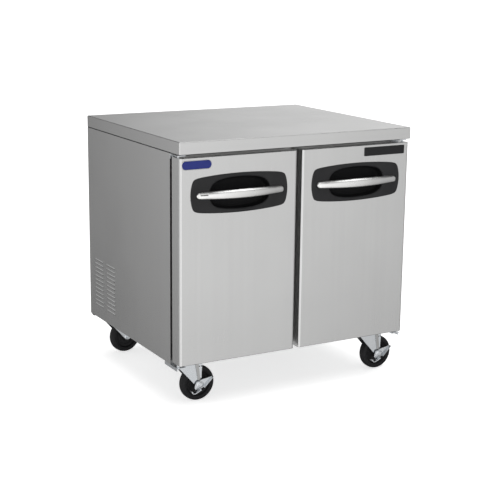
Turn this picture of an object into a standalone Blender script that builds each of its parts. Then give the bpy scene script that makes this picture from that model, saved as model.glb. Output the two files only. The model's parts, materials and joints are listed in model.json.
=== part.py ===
"""Undercounter refrigerator: worktop, insulated two-door cabinet, rear machine compartment, four casters.

Metres, +Z up. The doors face -Y and the floor is z = 0. The parts are drawn about the cabinet's middle,
with its back at y = 0, and the frame empty at the end carries them all so that the origin is the middle
of the floor area that the whole refrigerator covers.
"""

import math

import bmesh
import bpy
from mathutils import Matrix, Vector

# Driving dimensions
WIDTH = 0.924
DEPTH = 0.785
CASTER_HEIGHT = 0.161
CABINET_HEIGHT = 0.728
WORKTOP_THICKNESS = 0.0435
DOOR_THICKNESS = 0.0585
DOOR_HEIGHT = 0.708
DOOR_GAP = 0.020
WHEEL_RADIUS = 0.0635
WHEEL_WIDTH = 0.032
SHEET = 0.0015
CLEAR = 0.0003

# Heights
CABINET_BOTTOM = CASTER_HEIGHT
WORKTOP_BOTTOM = CABINET_BOTTOM + CABINET_HEIGHT
WORKTOP_TOP = WORKTOP_BOTTOM + WORKTOP_THICKNESS
DOOR_BOTTOM = CABINET_BOTTOM + 0.009
DOOR_TOP = DOOR_BOTTOM + DOOR_HEIGHT
BASE_TOP = CABINET_BOTTOM + SHEET + CLEAR
FLOOR_TOP = CABINET_BOTTOM + 0.054
CEILING = WORKTOP_BOTTOM - 0.058

# Planes from front to back
DOOR_FRONT = -(DEPTH - 0.005)
DOOR_BACK = DOOR_FRONT + DOOR_THICKNESS
CABINET_FRONT = DOOR_BACK + 0.0095
FRAME_BACK = CABINET_FRONT + 0.022
LOWER_BACK = -0.330
UPPER_BACK = -0.064
MACHINE_FRONT = -0.285
MACHINE_TOP = 0.405
STEP_TOP = 0.452
MULLION_BACK = FRAME_BACK + 0.025

# Planes from the middle outwards
SIDE = WIDTH / 2 - 0.001
INSIDE = SIDE - SHEET - CLEAR
LINER_SIDE = SIDE - 0.051
MULLION_HALF = 0.039
FRAME_WALL = 0.002
DOOR_INNER = DOOR_GAP / 2
DOOR_OUTER = WIDTH / 2 - 0.0035
DOOR_CENTRE = (DOOR_INNER + DOOR_OUTER) / 2

# The worktop's turned-in rim
WORKTOP_RIM = 0.030
WORKTOP_OPENING = WIDTH / 2 - WORKTOP_RIM

# Louvres: each column's rear and front edge on the sides, and its left edge and width at the back
SIDE_LOUVRE_COLUMNS = ((-0.052, -0.129), (-0.163, -0.240))
SIDE_LOUVRE_ROWS = 12
SIDE_LOUVRE_PITCH = 0.0160
SIDE_LOUVRE_LOWEST = 0.210
SIDE_LOUVRE_HEIGHT = 0.006
REAR_LOUVRE_COLUMNS = (-0.400, -0.200, 0.000)
REAR_LOUVRE_WIDTH = 0.160
REAR_LOUVRE_ROWS = 9
REAR_LOUVRE_PITCH = 0.021
REAR_LOUVRE_LOWEST = 0.200
REAR_LOUVRE_HEIGHT = 0.008

# Hinges and gasket
PIN_X = DOOR_OUTER - 0.009
PIN_Y = DOOR_FRONT + 0.028
PIN_RADIUS = 0.004
PIN_REACH = 0.012
HINGE_LENGTH = 0.030
HINGE_NOSE = 0.014
TOP_HINGE_SHEET = 0.0025
BOTTOM_HINGE_SHEET = 0.003
GASKET_INSET = 0.010
GASKET_WIDTH = 0.016
FIELD_INSET = GASKET_INSET + GASKET_WIDTH + 0.003
FIELD_RISE = 0.006

# Handle
HANDLE_HEIGHT = DOOR_TOP - 0.1265
PLATE_HALF = Vector((0.1845, 0.067))
PLATE_SAG = Vector((0.012, 0.0105))
PLATE_THICKNESS = 0.0035
POCKET_HALF = Vector((0.115, 0.054))
POCKET_SAG = Vector((0.016, 0.009))
POCKET_CORNER = 0.036
POCKET_DEPTH = 0.028
POCKET_WALL = 0.002
BAR_HALF_LENGTH = 0.166
BAR_HALF_HEIGHT = 0.014
BAR_END_HEIGHT = 0.007
BAR_REACH = 0.026
BAR_END_REACH = 0.006
BAR_DEPTH = 0.011

# Trim plates
BADGE_TOP = DOOR_TOP - 0.008
BADGE_HEIGHT = 0.031
BADGE_THICKNESS = 0.0015

# Shelves
SHELF_Z = 0.4920
SHELF_THICKNESS = 0.006
SHELF_FRONT = -0.655
SHELF_BACK = -0.080
SHELF_BAR = 0.005
SHELF_CROSS = 0.006
SHELF_BARS = 16
RAIL_WIDTH = 0.016

# Evaporator box on the upper back wall
EVAPORATOR_HALF = 0.210
EVAPORATOR_FRONT = UPPER_BACK - 0.096
EVAPORATOR_BOTTOM = 0.610
EVAPORATOR_TOP = CEILING - 0.025
EVAPORATOR_FAN_X = -0.100
EVAPORATOR_FAN_Z = (EVAPORATOR_BOTTOM + EVAPORATOR_TOP) / 2
EVAPORATOR_FAN_RADIUS = 0.068
EVAPORATOR_HUB = 0.018
EVAPORATOR_WALL = 0.002
EVAPORATOR_MOTOR_RADIUS = 0.026
KNOB_X = 0.150
KNOB_RADIUS = 0.017
SHAFT_RADIUS = 0.003

# Condensing unit in the machine compartment
CONDENSER_X = -0.380
CONDENSER_FRONT = -0.262
CONDENSER_BACK = -0.023
CONDENSER_BOTTOM = BASE_TOP + 0.004
CONDENSER_TOP = MACHINE_TOP - 0.012
CONDENSER_THICKNESS = 0.050
SHROUD_DEPTH = 0.038
CONDENSER_FAN_Y = (CONDENSER_FRONT + CONDENSER_BACK) / 2
CONDENSER_FAN_Z = 0.280
CONDENSER_FAN_RADIUS = 0.092
CONDENSER_HUB = 0.024
CONDENSER_MOTOR_RADIUS = 0.038
CONDENSER_MOTOR_LENGTH = 0.075
COMPRESSOR_X = 0.220
COMPRESSOR_Y = -0.140
COMPRESSOR_FOOT = Vector((0.095, 0.080))
COMPRESSOR_FEET_HEIGHT = 0.0135
GLAND_X = 0.360
GLAND_Z = 0.240
GLAND_FLANGE = 0.002
GLAND_RADIUS = 0.0120

# Casters
CASTER_INSET = 0.081
CASTER_FRONT_Y = -0.668
CASTER_REAR_Y = -0.052
CASTER_LEAD = 0.042
CASTER_PLATE_HALF = Vector((0.0475, 0.035))
CASTER_PLATE_SHEET = 0.003
RACE_DEPTH = 0.013
RACE_RADIUS = 0.030
KING_PIN_RADIUS = 0.006
AXLE_RADIUS = 0.006
AXLE_HEAD_RADIUS = 0.0095
FORK_INNER = 0.0195
FORK_SHEET = 0.003
FORK_CROWN_RADIUS = 0.036
FORK_BOSS_RADIUS = 0.0135
CASTER_TURNS = {"front_left": 0.0, "front_right": 0.0, "rear_left": 8.0, "rear_right": -50.0}
PEDAL_TILT = 26.0
PEDAL_FRONT = -0.0300
PEDAL_BACK = -0.0270
PEDAL_REACH = 0.050

FINISHES = {
    "stainless": ((0.62, 0.62, 0.61), 0.32, 1.0),
    "galvanized": ((0.52, 0.54, 0.55), 0.45, 1.0),
    "aluminium": ((0.74, 0.75, 0.76), 0.35, 1.0),
    "zinc": ((0.70, 0.73, 0.76), 0.30, 1.0),
    "silver_plastic": ((0.72, 0.72, 0.72), 0.28, 0.6),
    "black_plastic": ((0.045, 0.045, 0.047), 0.45, 0.0),
    "white_plastic": ((0.82, 0.83, 0.83), 0.40, 0.0),
    "foam": ((0.78, 0.70, 0.45), 0.90, 0.0),
    "gasket": ((0.03, 0.03, 0.03), 0.60, 0.0),
    "wheel": ((0.02, 0.02, 0.02), 0.50, 0.0),
    "coil": ((0.60, 0.58, 0.55), 0.45, 0.9),
    "black_enamel": ((0.02, 0.02, 0.022), 0.35, 0.0),
    "blue_badge": ((0.03, 0.09, 0.35), 0.30, 0.0),
    "black_badge": ((0.015, 0.015, 0.015), 0.30, 0.0),
}

for old in list(bpy.data.objects):
    bpy.data.objects.remove(old, do_unlink=True)

PARTS = bpy.data.collections.new("undercounter_refrigerator")
CUTTERS = bpy.data.collections.new("cutters")
bpy.context.scene.collection.children.link(PARTS)
bpy.context.scene.collection.children.link(CUTTERS)


# ---------------------------------------------------------------- making objects

def paint(name, finish):
    """A material of its own for one part."""
    colour, roughness, metallic = FINISHES[finish]
    material = bpy.data.materials.new(name)
    material.use_nodes = True
    shader = material.node_tree.nodes["Principled BSDF"]
    shader.inputs["Base Color"].default_value = (*colour, 1.0)
    shader.inputs["Roughness"].default_value = roughness
    shader.inputs["Metallic"].default_value = metallic
    material.diffuse_color = (*colour, 1.0)
    return material


def empty(name, location, parent=None, turn=0.0):
    """An axis that pieces hang on; turn is in degrees about Z."""
    axis = bpy.data.objects.new(name, None)
    axis.empty_display_size = 0.03
    axis.location = location
    axis.rotation_euler.z = math.radians(turn)
    axis.parent = parent
    PARTS.objects.link(axis)
    return axis


FRAME = empty("refrigerator_frame", (0, 0, 0))


def part(name, mesh, finish, parent=FRAME, location=(0, 0, 0), rotation=(0, 0, 0)):
    """A sub-part of the refrigerator, placed under the axis or frame that carries it."""
    obj = bpy.data.objects.new(name, mesh)
    mesh.materials.append(paint(name, finish))
    mesh.shade_smooth()
    mesh.set_sharp_from_angle(angle=math.radians(35))
    PARTS.objects.link(obj)
    obj.parent = parent
    obj.location = location
    obj.rotation_euler = rotation
    return obj


def tool(mesh, like, location=(0, 0, 0), rotation=(0, 0, 0)):
    """A shape that a Boolean joins to a part or takes from it, drawn in that part's own space."""
    obj = bpy.data.objects.new(mesh.name, mesh)
    CUTTERS.objects.link(obj)
    obj.parent = like
    obj.location = location
    obj.rotation_euler = rotation
    obj.hide_render = True
    obj.display_type = "WIRE"
    return obj


def boolean(obj, other, operation):
    modifier = obj.modifiers.new(operation.lower(), "BOOLEAN")
    modifier.operation = operation
    modifier.solver = "EXACT"
    modifier.object = other


def cut(obj, mesh, **place):
    boolean(obj, tool(mesh, obj, **place), "DIFFERENCE")


def add(obj, mesh, **place):
    boolean(obj, tool(mesh, obj, **place), "UNION")


# ---------------------------------------------------------------- making meshes

def box_mesh(name, first, second):
    """A box between two opposite corners."""
    return boxes_mesh(name, [(first, second)])


def boxes_mesh(name, corner_pairs):
    """One box for each pair of opposite corners, all in one mesh."""
    shape = bmesh.new()
    for first, second in corner_pairs:
        low = Vector(map(min, first, second))
        high = Vector(map(max, first, second))
        place = Matrix.Translation((low + high) / 2) @ Matrix.Diagonal((*(high - low), 1.0))
        bmesh.ops.create_cube(shape, size=1.0, matrix=place)
    return finished(name, shape)


def cylinder_mesh(name, radius, start, end, segments=24, end_radius=None):
    """A round bar from one point to another, or a cone where end_radius is given."""
    start = Vector(start)
    end = Vector(end)
    along = (end - start).to_track_quat("Z", "Y").to_matrix().to_4x4()
    shape = bmesh.new()
    bmesh.ops.create_cone(
        shape, cap_ends=True, segments=segments, radius1=radius,
        radius2=radius if end_radius is None else end_radius, depth=(end - start).length,
        matrix=Matrix.Translation((start + end) / 2) @ along)
    return finished(name, shape)


def rounded_box_mesh(name, first, second, radius, axis, segments=4, front_only=False):
    """A box whose edges along one axis are rounded, or only those on its -Y side."""
    shape = bmesh.new()
    low = Vector(map(min, first, second))
    high = Vector(map(max, first, second))
    place = Matrix.Translation((low + high) / 2) @ Matrix.Diagonal((*(high - low), 1.0))
    bmesh.ops.create_cube(shape, size=1.0, matrix=place)
    edges = [edge for edge in shape.edges if runs_along(edge, axis)
             and not (front_only and edge.verts[0].co.y > (low.y + high.y) / 2)]
    bmesh.ops.bevel(shape, geom=edges, offset=radius, segments=segments, affect="EDGES", profile=0.5)
    return finished(name, shape)


def runs_along(edge, axis):
    direction = (edge.verts[1].co - edge.verts[0].co).normalized()
    return abs(direction["XYZ".index(axis)]) > 0.99


def finished(name, shape):
    bmesh.ops.recalc_face_normals(shape, faces=shape.faces)
    mesh = bpy.data.meshes.new(name)
    shape.to_mesh(mesh)
    shape.free()
    return mesh


def prism_mesh(name, outline, start, end, across="Y", corners=(), corner_radius=0.0):
    """A flat outline swept along one axis. Listed corner points of the outline are rounded first.

    The outline's two numbers are the two axes left over, in X, Y, Z order.
    """
    shape = bmesh.new()
    place = {
        "X": lambda a, b, depth: (depth, a, b),
        "Y": lambda a, b, depth: (a, depth, b),
        "Z": lambda a, b, depth: (a, b, depth),
    }[across]
    points = [shape.verts.new(place(a, b, start)) for a, b in outline]
    shape.faces.new(points)
    if corner_radius:
        bmesh.ops.bevel(shape, geom=[points[index] for index in corners], offset=corner_radius,
                        segments=4, affect="VERTICES", profile=0.5)
    swept = bmesh.ops.extrude_face_region(shape, geom=list(shape.faces))
    moved = [item for item in swept["geom"] if isinstance(item, bmesh.types.BMVert)]
    bmesh.ops.translate(shape, verts=moved, vec=Vector(place(0, 0, end - start)))
    return finished(name, shape)


def barrel_outline(half, sag, steps=8):
    """A rectangle whose four sides bulge outwards: half sizes at the bulges, and each bulge's height."""
    corner = half - sag
    points = []
    for side in range(4):
        for step in range(steps):
            along = 1.0 - 2.0 * step / steps
            bulge = 1.0 - along * along
            if side == 0:
                points.append((corner.x * along, corner.y + sag.y * bulge))
            elif side == 1:
                points.append((-corner.x - sag.x * bulge, corner.y * along))
            elif side == 2:
                points.append((-corner.x * along, -corner.y - sag.y * bulge))
            else:
                points.append((corner.x + sag.x * bulge, -corner.y * along))
    return points, [side * steps for side in range(4)]


def barrel_mesh(name, half, sag, start, end, corner_radius):
    outline, corners = barrel_outline(half, sag)
    return prism_mesh(name, outline, start, end, "Y", corners, corner_radius)


def turned_part(name, profile, segments, finish, closed=False, **place):
    """A part turned about its own Z axis: radius and height pairs, running down the outer side."""
    count = len(profile)
    edges = [(index, index + 1) for index in range(count - 1)]
    if closed:
        edges.append((count - 1, 0))
    mesh = bpy.data.meshes.new(name)
    mesh.from_pydata([(radius, 0.0, height) for radius, height in profile], edges, [])
    obj = part(name, mesh, finish, **place)
    modifier = obj.modifiers.new("turn", "SCREW")
    modifier.axis = "Z"
    modifier.angle = math.tau
    modifier.steps = segments
    modifier.render_steps = segments
    modifier.use_merge_vertices = True
    modifier.merge_threshold = 0.0001
    modifier.use_smooth_shade = True
    return obj


# ---------------------------------------------------------------- cabinet

def worktop():
    """Folded sheet with its rim turned in underneath, open over the foam that fills it."""
    slab = rounded_box_mesh("worktop", (-WIDTH / 2, -DEPTH, WORKTOP_BOTTOM),
                            (WIDTH / 2, 0, WORKTOP_TOP), 0.003, "Z", 2)
    top = part("worktop", slab, "stainless")
    bevel = top.modifiers.new("folded edge", "BEVEL")
    bevel.width = 0.0012
    bevel.segments = 2
    bevel.limit_method = "ANGLE"
    bevel.angle_limit = math.radians(50)
    cut(top, box_mesh("worktop_hollow", (-WIDTH / 2 + SHEET, -DEPTH + SHEET, WORKTOP_BOTTOM + SHEET),
                      (WIDTH / 2 - SHEET, -SHEET, WORKTOP_TOP - SHEET)))
    cut(top, box_mesh("worktop_underside", (-WORKTOP_OPENING, FRAME_BACK, WORKTOP_BOTTOM - SHEET),
                      (WORKTOP_OPENING, -WORKTOP_RIM, WORKTOP_BOTTOM + 2 * SHEET)))


def louvre_slots(rows, pitch, lowest, height):
    """Bottom and top of each slot in a column of louvres."""
    return [(lowest + row * pitch, lowest + row * pitch + height) for row in range(rows)]


def side_panel(name, side):
    """Outer side sheet with two columns of louvres into the machine compartment."""
    outer = side * SIDE
    inner = side * (SIDE - SHEET)
    panel = part(name, box_mesh(name, (outer, CABINET_FRONT, CABINET_BOTTOM),
                                (inner, 0, WORKTOP_BOTTOM - 4 * CLEAR)), "stainless")
    through = side * (SIDE + 0.01), side * (SIDE - 0.01)
    slots = []
    for rear, front in SIDE_LOUVRE_COLUMNS:
        for bottom, top in louvre_slots(SIDE_LOUVRE_ROWS, SIDE_LOUVRE_PITCH, SIDE_LOUVRE_LOWEST,
                                        SIDE_LOUVRE_HEIGHT):
            slots.append(((through[0], rear, bottom), (through[1], front, top)))
    cut(panel, boxes_mesh(name + "_louvres", slots))


def back_panel():
    mesh = box_mesh("back_panel", (-INSIDE, -SHEET, MACHINE_TOP + 0.008),
                    (INSIDE, 0, WORKTOP_BOTTOM - CLEAR))
    part("back_panel", mesh, "galvanized")


def rear_grille():
    """Louvred cover over the back of the machine compartment, with the cord gland's hole."""
    grille = part("rear_grille", box_mesh("rear_grille", (-INSIDE, -SHEET, BASE_TOP),
                                          (INSIDE, 0, MACHINE_TOP + 0.008 - CLEAR)), "galvanized")
    slots = []
    for left in REAR_LOUVRE_COLUMNS:
        for bottom, top in louvre_slots(REAR_LOUVRE_ROWS, REAR_LOUVRE_PITCH, REAR_LOUVRE_LOWEST,
                                        REAR_LOUVRE_HEIGHT):
            slots.append(((left, -0.01, bottom), (left + REAR_LOUVRE_WIDTH, 0.01, top)))
    cut(grille, boxes_mesh("rear_grille_louvres", slots))
    cut(grille, cylinder_mesh("gland_hole", GLAND_RADIUS + 0.0005, (GLAND_X, -0.01, GLAND_Z),
                              (GLAND_X, 0.01, GLAND_Z)))


def power_gland():
    """Bush in the rear grille that the supply cord would leave through."""
    bore = 0.005
    flange = GLAND_RADIUS + 0.004
    inside = -0.014
    profile = [(bore, GLAND_FLANGE), (flange, GLAND_FLANGE), (flange, CLEAR), (GLAND_RADIUS, CLEAR),
               (GLAND_RADIUS, inside), (bore, inside)]
    turned_part("power_gland", profile, 20, "black_plastic", closed=True,
                location=(GLAND_X, 0, GLAND_Z), rotation=(-math.pi / 2, 0, 0))


def base_pan():
    mesh = box_mesh("base_pan", (-INSIDE, CABINET_FRONT, CABINET_BOTTOM),
                    (INSIDE, 0, CABINET_BOTTOM + SHEET))
    part("base_pan", mesh, "galvanized")


def insulation():
    """Foam shell between the liner and the outer sheets, stepped over the machine compartment."""
    foam = part("insulation", box_mesh("insulation", (-INSIDE, FRAME_BACK + CLEAR, BASE_TOP),
                                       (INSIDE, -SHEET - CLEAR, WORKTOP_BOTTOM - CLEAR)), "foam")
    skin = SHEET + CLEAR
    half = LINER_SIDE + skin
    outside = 0.05
    cut(foam, box_mesh("lower_cavity", (-half, CABINET_FRONT - outside, FLOOR_TOP - skin),
                       (half, LOWER_BACK + skin, STEP_TOP + 0.01)))
    cut(foam, box_mesh("upper_cavity", (-half, CABINET_FRONT - outside, STEP_TOP - skin),
                       (half, UPPER_BACK + skin, CEILING + skin)))
    cut(foam, box_mesh("machine_space", (-SIDE - outside, MACHINE_FRONT, CABINET_BOTTOM - outside),
                       (SIDE + outside, outside, MACHINE_TOP)))
    add(foam, box_mesh("worktop_neck", (-WORKTOP_OPENING + CLEAR, FRAME_BACK + CLEAR, CEILING + 0.020),
                       (WORKTOP_OPENING - CLEAR, -WORKTOP_RIM - CLEAR, WORKTOP_BOTTOM + skin + 0.001)))
    add(foam, box_mesh("worktop_core", (-WIDTH / 2 + skin, -DEPTH + skin, WORKTOP_BOTTOM + skin),
                       (WIDTH / 2 - skin, -skin, WORKTOP_TOP - skin)))


def liner():
    """Inner sheets of the cold compartment: floor, stepped back, two sides and ceiling."""
    half = LINER_SIDE - CLEAR
    front = FRAME_BACK + CLEAR
    part("liner_floor", box_mesh("liner_floor", (-half, front, FLOOR_TOP - SHEET),
                                 (half, LOWER_BACK - CLEAR, FLOOR_TOP)), "stainless")
    part("liner_ceiling", box_mesh("liner_ceiling", (-half, front, CEILING),
                                   (half, UPPER_BACK - CLEAR, CEILING + SHEET)), "aluminium")
    outline = [(LOWER_BACK, FLOOR_TOP - SHEET), (LOWER_BACK + SHEET, FLOOR_TOP - SHEET),
               (LOWER_BACK + SHEET, STEP_TOP - SHEET), (UPPER_BACK + SHEET, STEP_TOP - SHEET),
               (UPPER_BACK + SHEET, CEILING + SHEET), (UPPER_BACK, CEILING + SHEET),
               (UPPER_BACK, STEP_TOP), (LOWER_BACK, STEP_TOP)]
    part("liner_back", prism_mesh("liner_back", outline, -half, half, "X"), "aluminium")
    side_outline = [(front, FLOOR_TOP - SHEET), (LOWER_BACK + SHEET, FLOOR_TOP - SHEET),
                    (LOWER_BACK + SHEET, STEP_TOP - SHEET), (UPPER_BACK + SHEET, STEP_TOP - SHEET),
                    (UPPER_BACK + SHEET, CEILING + SHEET), (front, CEILING + SHEET)]
    for name, side in (("liner_left", -1), ("liner_right", 1)):
        mesh = prism_mesh(name, side_outline, side * LINER_SIDE, side * (LINER_SIDE + SHEET), "X")
        part(name, mesh, "aluminium")


def face_frame():
    """Breaker frame that the gaskets close on, hollow behind, and the tube between the doors."""
    ring = part("face_frame", box_mesh("face_frame", (-INSIDE, CABINET_FRONT, BASE_TOP),
                                       (INSIDE, FRAME_BACK, WORKTOP_BOTTOM - CLEAR)), "stainless")
    cut(ring, box_mesh("doorway", (-LINER_SIDE, CABINET_FRONT - 0.01, FLOOR_TOP),
                       (LINER_SIDE, FRAME_BACK + 0.01, CEILING)))
    front = CABINET_FRONT + FRAME_WALL
    behind = FRAME_BACK + 0.01
    channels = []
    for bottom, top in ((BASE_TOP, FLOOR_TOP), (CEILING, WORKTOP_BOTTOM - CLEAR)):
        channels.append(((-INSIDE + FRAME_WALL, front, bottom + FRAME_WALL),
                         (INSIDE - FRAME_WALL, behind, top - FRAME_WALL)))
    for side in (-1, 1):
        channels.append(((side * (LINER_SIDE + FRAME_WALL), front, FLOOR_TOP + FRAME_WALL),
                         (side * (INSIDE - FRAME_WALL), behind, CEILING - FRAME_WALL)))
    cut(ring, boxes_mesh("frame_channels", channels))
    post = part("mullion", box_mesh("mullion", (-MULLION_HALF, CABINET_FRONT, FLOOR_TOP + CLEAR),
                                    (MULLION_HALF, MULLION_BACK, CEILING - CLEAR)), "stainless")
    cut(post, box_mesh("mullion_bore", (-MULLION_HALF + FRAME_WALL, front, FLOOR_TOP - 0.01),
                       (MULLION_HALF - FRAME_WALL, MULLION_BACK - FRAME_WALL, CEILING + 0.01)))


# ---------------------------------------------------------------- hinges

def top_hinge(name, side):
    """Angle on the frame's face with a pin down into the door."""
    outer = side * (SIDE - 0.001)
    inner = outer - side * HINGE_LENGTH
    level = DOOR_TOP + 0.0055
    face = CABINET_FRONT - CLEAR
    bracket = part(name, box_mesh(name, (outer, face, level),
                                  (inner, PIN_Y - HINGE_NOSE, level + TOP_HINGE_SHEET)), "zinc")
    add(bracket, box_mesh(name + "_flange", (outer, face, DOOR_TOP - 0.008),
                          (inner, face - TOP_HINGE_SHEET, level + TOP_HINGE_SHEET / 2)))
    pin_x = side * PIN_X
    add(bracket, cylinder_mesh(name + "_pin", PIN_RADIUS, (pin_x, PIN_Y, level + TOP_HINGE_SHEET / 2),
                               (pin_x, PIN_Y, DOOR_TOP - PIN_REACH), 16))


def bottom_hinge(name, side):
    """Plate under the cabinet's front corner with a side flange, and a shouldered pin up into the door."""
    outer = side * SIDE
    inner = outer - side * (HINGE_LENGTH + 0.002)
    rear = CABINET_FRONT + 0.045
    top = CABINET_BOTTOM - CLEAR
    within = top - BOTTOM_HINGE_SHEET / 2
    bracket = part(name, box_mesh(name, (outer, rear, top),
                                  (inner, PIN_Y - HINGE_NOSE, top - BOTTOM_HINGE_SHEET)), "zinc")
    add(bracket, box_mesh(name + "_flange", (outer, rear, within),
                          (outer - side * TOP_HINGE_SHEET, PIN_Y - HINGE_NOSE + 0.004, top - 0.012)))
    pin_x = side * PIN_X
    add(bracket, cylinder_mesh(name + "_shoulder", 1.75 * PIN_RADIUS, (pin_x, PIN_Y, within),
                               (pin_x, PIN_Y, DOOR_BOTTOM - CLEAR), 16))
    add(bracket, cylinder_mesh(name + "_pin", PIN_RADIUS, (pin_x, PIN_Y, within - 0.0005),
                               (pin_x, PIN_Y, DOOR_BOTTOM + PIN_REACH), 16))


# ---------------------------------------------------------------- doors

def pin_bores(obj, name, axis_x):
    """Sockets in the door's ends for the two hinge pins."""
    for end, level in (("bottom", DOOR_BOTTOM), ("top", DOOR_TOP)):
        inward = 1 if end == "bottom" else -1
        start = (axis_x, PIN_Y, level - inward * 0.01)
        stop = (axis_x, PIN_Y, level + inward * (PIN_REACH + 0.001))
        cut(obj, cylinder_mesh(f"{name}_{end}_bore", PIN_RADIUS + 1.5 * CLEAR, start, stop, 16))


def hung(name, side):
    """The axis empty of one door, on its hinge pins."""
    return empty(name + "_axis", (side * PIN_X, PIN_Y, 0), FRAME)


def door_part(name, mesh, finish, axis):
    """A door piece drawn in cabinet space and carried by the door's axis."""
    return part(name, mesh, finish, parent=axis, location=-axis.location)


def pocket_shape(name, grow, start, end):
    """The grip pocket's outline swept from one plane to another, larger all round by grow."""
    half = POCKET_HALF + Vector((grow, grow))
    return barrel_mesh(name, half, POCKET_SAG, start, end, POCKET_CORNER)


def door(name, side):
    axis = hung(name, side)
    door_skin(name, side, axis)
    door_liner(name, side, axis)
    door_gasket(name, side, axis)
    handle_plate(name, side, axis)
    handle_bar(name, side, axis)


def handle_place(side):
    return side * DOOR_CENTRE, 0, HANDLE_HEIGHT


def door_skin(name, side, axis):
    """Folded outer pan, open at the back, with the handle pocket's window."""
    inner = side * DOOR_INNER
    outer = side * DOOR_OUTER
    skin = door_part(name + "_skin", rounded_box_mesh(
        name + "_skin", (inner, DOOR_FRONT, DOOR_BOTTOM), (outer, DOOR_BACK - CLEAR, DOOR_TOP),
        0.005, "Z", 4, front_only=True), "stainless", axis)
    hollow = rounded_box_mesh(
        name + "_hollow", (inner + side * SHEET, DOOR_FRONT + SHEET, DOOR_BOTTOM + SHEET),
        (outer - side * SHEET, DOOR_BACK + 0.02, DOOR_TOP - SHEET), 0.0035, "Z", 4, front_only=True)
    cut(skin, hollow)
    cut(skin, pocket_shape(name + "_window", POCKET_WALL + 2 * CLEAR, DOOR_FRONT - 0.01, DOOR_FRONT + 0.01),
        location=handle_place(side))
    pin_bores(skin, name + "_skin", side * PIN_X)


def door_liner(name, side, axis):
    """Foamed inner panel: fills the pan, notched for the pocket, with a raised field inside the gasket."""
    gap = SHEET + CLEAR
    inner = side * (DOOR_INNER + gap)
    outer = side * (DOOR_OUTER - gap)
    liner_block = door_part(name + "_liner", rounded_box_mesh(
        name + "_liner", (inner, DOOR_FRONT + gap, DOOR_BOTTOM + gap),
        (outer, DOOR_BACK - CLEAR, DOOR_TOP - gap), 0.0035, "Z", 4, front_only=True), "white_plastic", axis)
    add(liner_block, rounded_box_mesh(
        name + "_field", (side * (DOOR_INNER + FIELD_INSET), DOOR_BACK - 0.01, DOOR_BOTTOM + FIELD_INSET),
        (side * (DOOR_OUTER - FIELD_INSET), DOOR_BACK + FIELD_RISE, DOOR_TOP - FIELD_INSET), 0.012, "Y", 3))
    cut(liner_block, pocket_shape(name + "_notch", POCKET_WALL + 2 * CLEAR, DOOR_FRONT - 0.01,
                                  DOOR_FRONT + POCKET_DEPTH + POCKET_WALL + CLEAR),
        location=handle_place(side))
    pin_bores(liner_block, name + "_liner", side * PIN_X)


def door_gasket(name, side, axis):
    inner = DOOR_INNER + GASKET_INSET
    outer = DOOR_OUTER - GASKET_INSET
    bottom = DOOR_BOTTOM + GASKET_INSET
    top = DOOR_TOP - GASKET_INSET
    ring = door_part(name + "_gasket", box_mesh(
        name + "_gasket", (side * inner, DOOR_BACK, bottom),
        (side * outer, CABINET_FRONT - CLEAR, top)), "gasket", axis)
    cut(ring, box_mesh(name + "_gasket_inside",
                       (side * (inner + GASKET_WIDTH), DOOR_BACK - 0.01, bottom + GASKET_WIDTH),
                       (side * (outer - GASKET_WIDTH), CABINET_FRONT + 0.01, top - GASKET_WIDTH)))


def handle_plate(name, side, axis):
    """Moulded plate on the door's face with the grip pocket sunk into the door."""
    back = DOOR_FRONT - CLEAR
    front = back - PLATE_THICKNESS
    floor = DOOR_FRONT + POCKET_DEPTH
    plate = part(name + "_handle_plate", barrel_mesh(name + "_handle_plate", PLATE_HALF, PLATE_SAG,
                                                    front, back, 0.014), "black_plastic",
                 parent=axis, location=Vector(handle_place(side)) - axis.location)
    add(plate, pocket_shape(name + "_pocket", POCKET_WALL, front + 0.001, floor + POCKET_WALL))
    cut(plate, pocket_shape(name + "_pocket_inside", 0.0, front - 0.01, floor))


def bar_face_outline(steps=12):
    """The bar seen from the front: a slim lens with blunt round ends."""
    upper = []
    for step in range(steps + 1):
        along = 1.0 - 2.0 * step / steps
        rise = BAR_END_HEIGHT + (BAR_HALF_HEIGHT - BAR_END_HEIGHT) * (1.0 - along * along)
        upper.append((BAR_HALF_LENGTH * along, rise))
    lower = [(x, -z) for x, z in reversed(upper)]
    corners = [0, steps, steps + 1, 2 * steps + 1]
    return upper + lower, corners


def bar_plan_outline(back, steps=14):
    """The bar seen from above: feet flat on the plate, and a bow that stands clear of the pocket."""
    front_edge = []
    back_edge = []
    foot = POCKET_HALF.x + 0.006
    end = 1.04 * BAR_HALF_LENGTH
    for step in range(steps + 1):
        along = 1.0 - 2.0 * step / steps
        bow = 1.0 - along * along
        front_edge.append((end * along, back - BAR_END_REACH - (BAR_REACH - BAR_END_REACH) * bow))
        back_edge.append((-foot * along, back - (BAR_REACH - BAR_DEPTH) * bow))
    return front_edge + [(-end, back)] + back_edge + [(end, back)]


def handle_bar(name, side, axis):
    back = DOOR_FRONT - PLATE_THICKNESS - 2 * CLEAR
    outline, corners = bar_face_outline()
    bar = part(name + "_handle_bar", prism_mesh(name + "_handle_bar", outline, back - 0.05, back + 0.05, "Y",
                                               corners, 0.0065), "silver_plastic",
               parent=axis, location=Vector(handle_place(side)) - axis.location)
    bow = prism_mesh(name + "_bow", bar_plan_outline(back), -0.03, 0.03, "Z")
    boolean(bar, tool(bow, bar), "INTERSECT")


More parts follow.
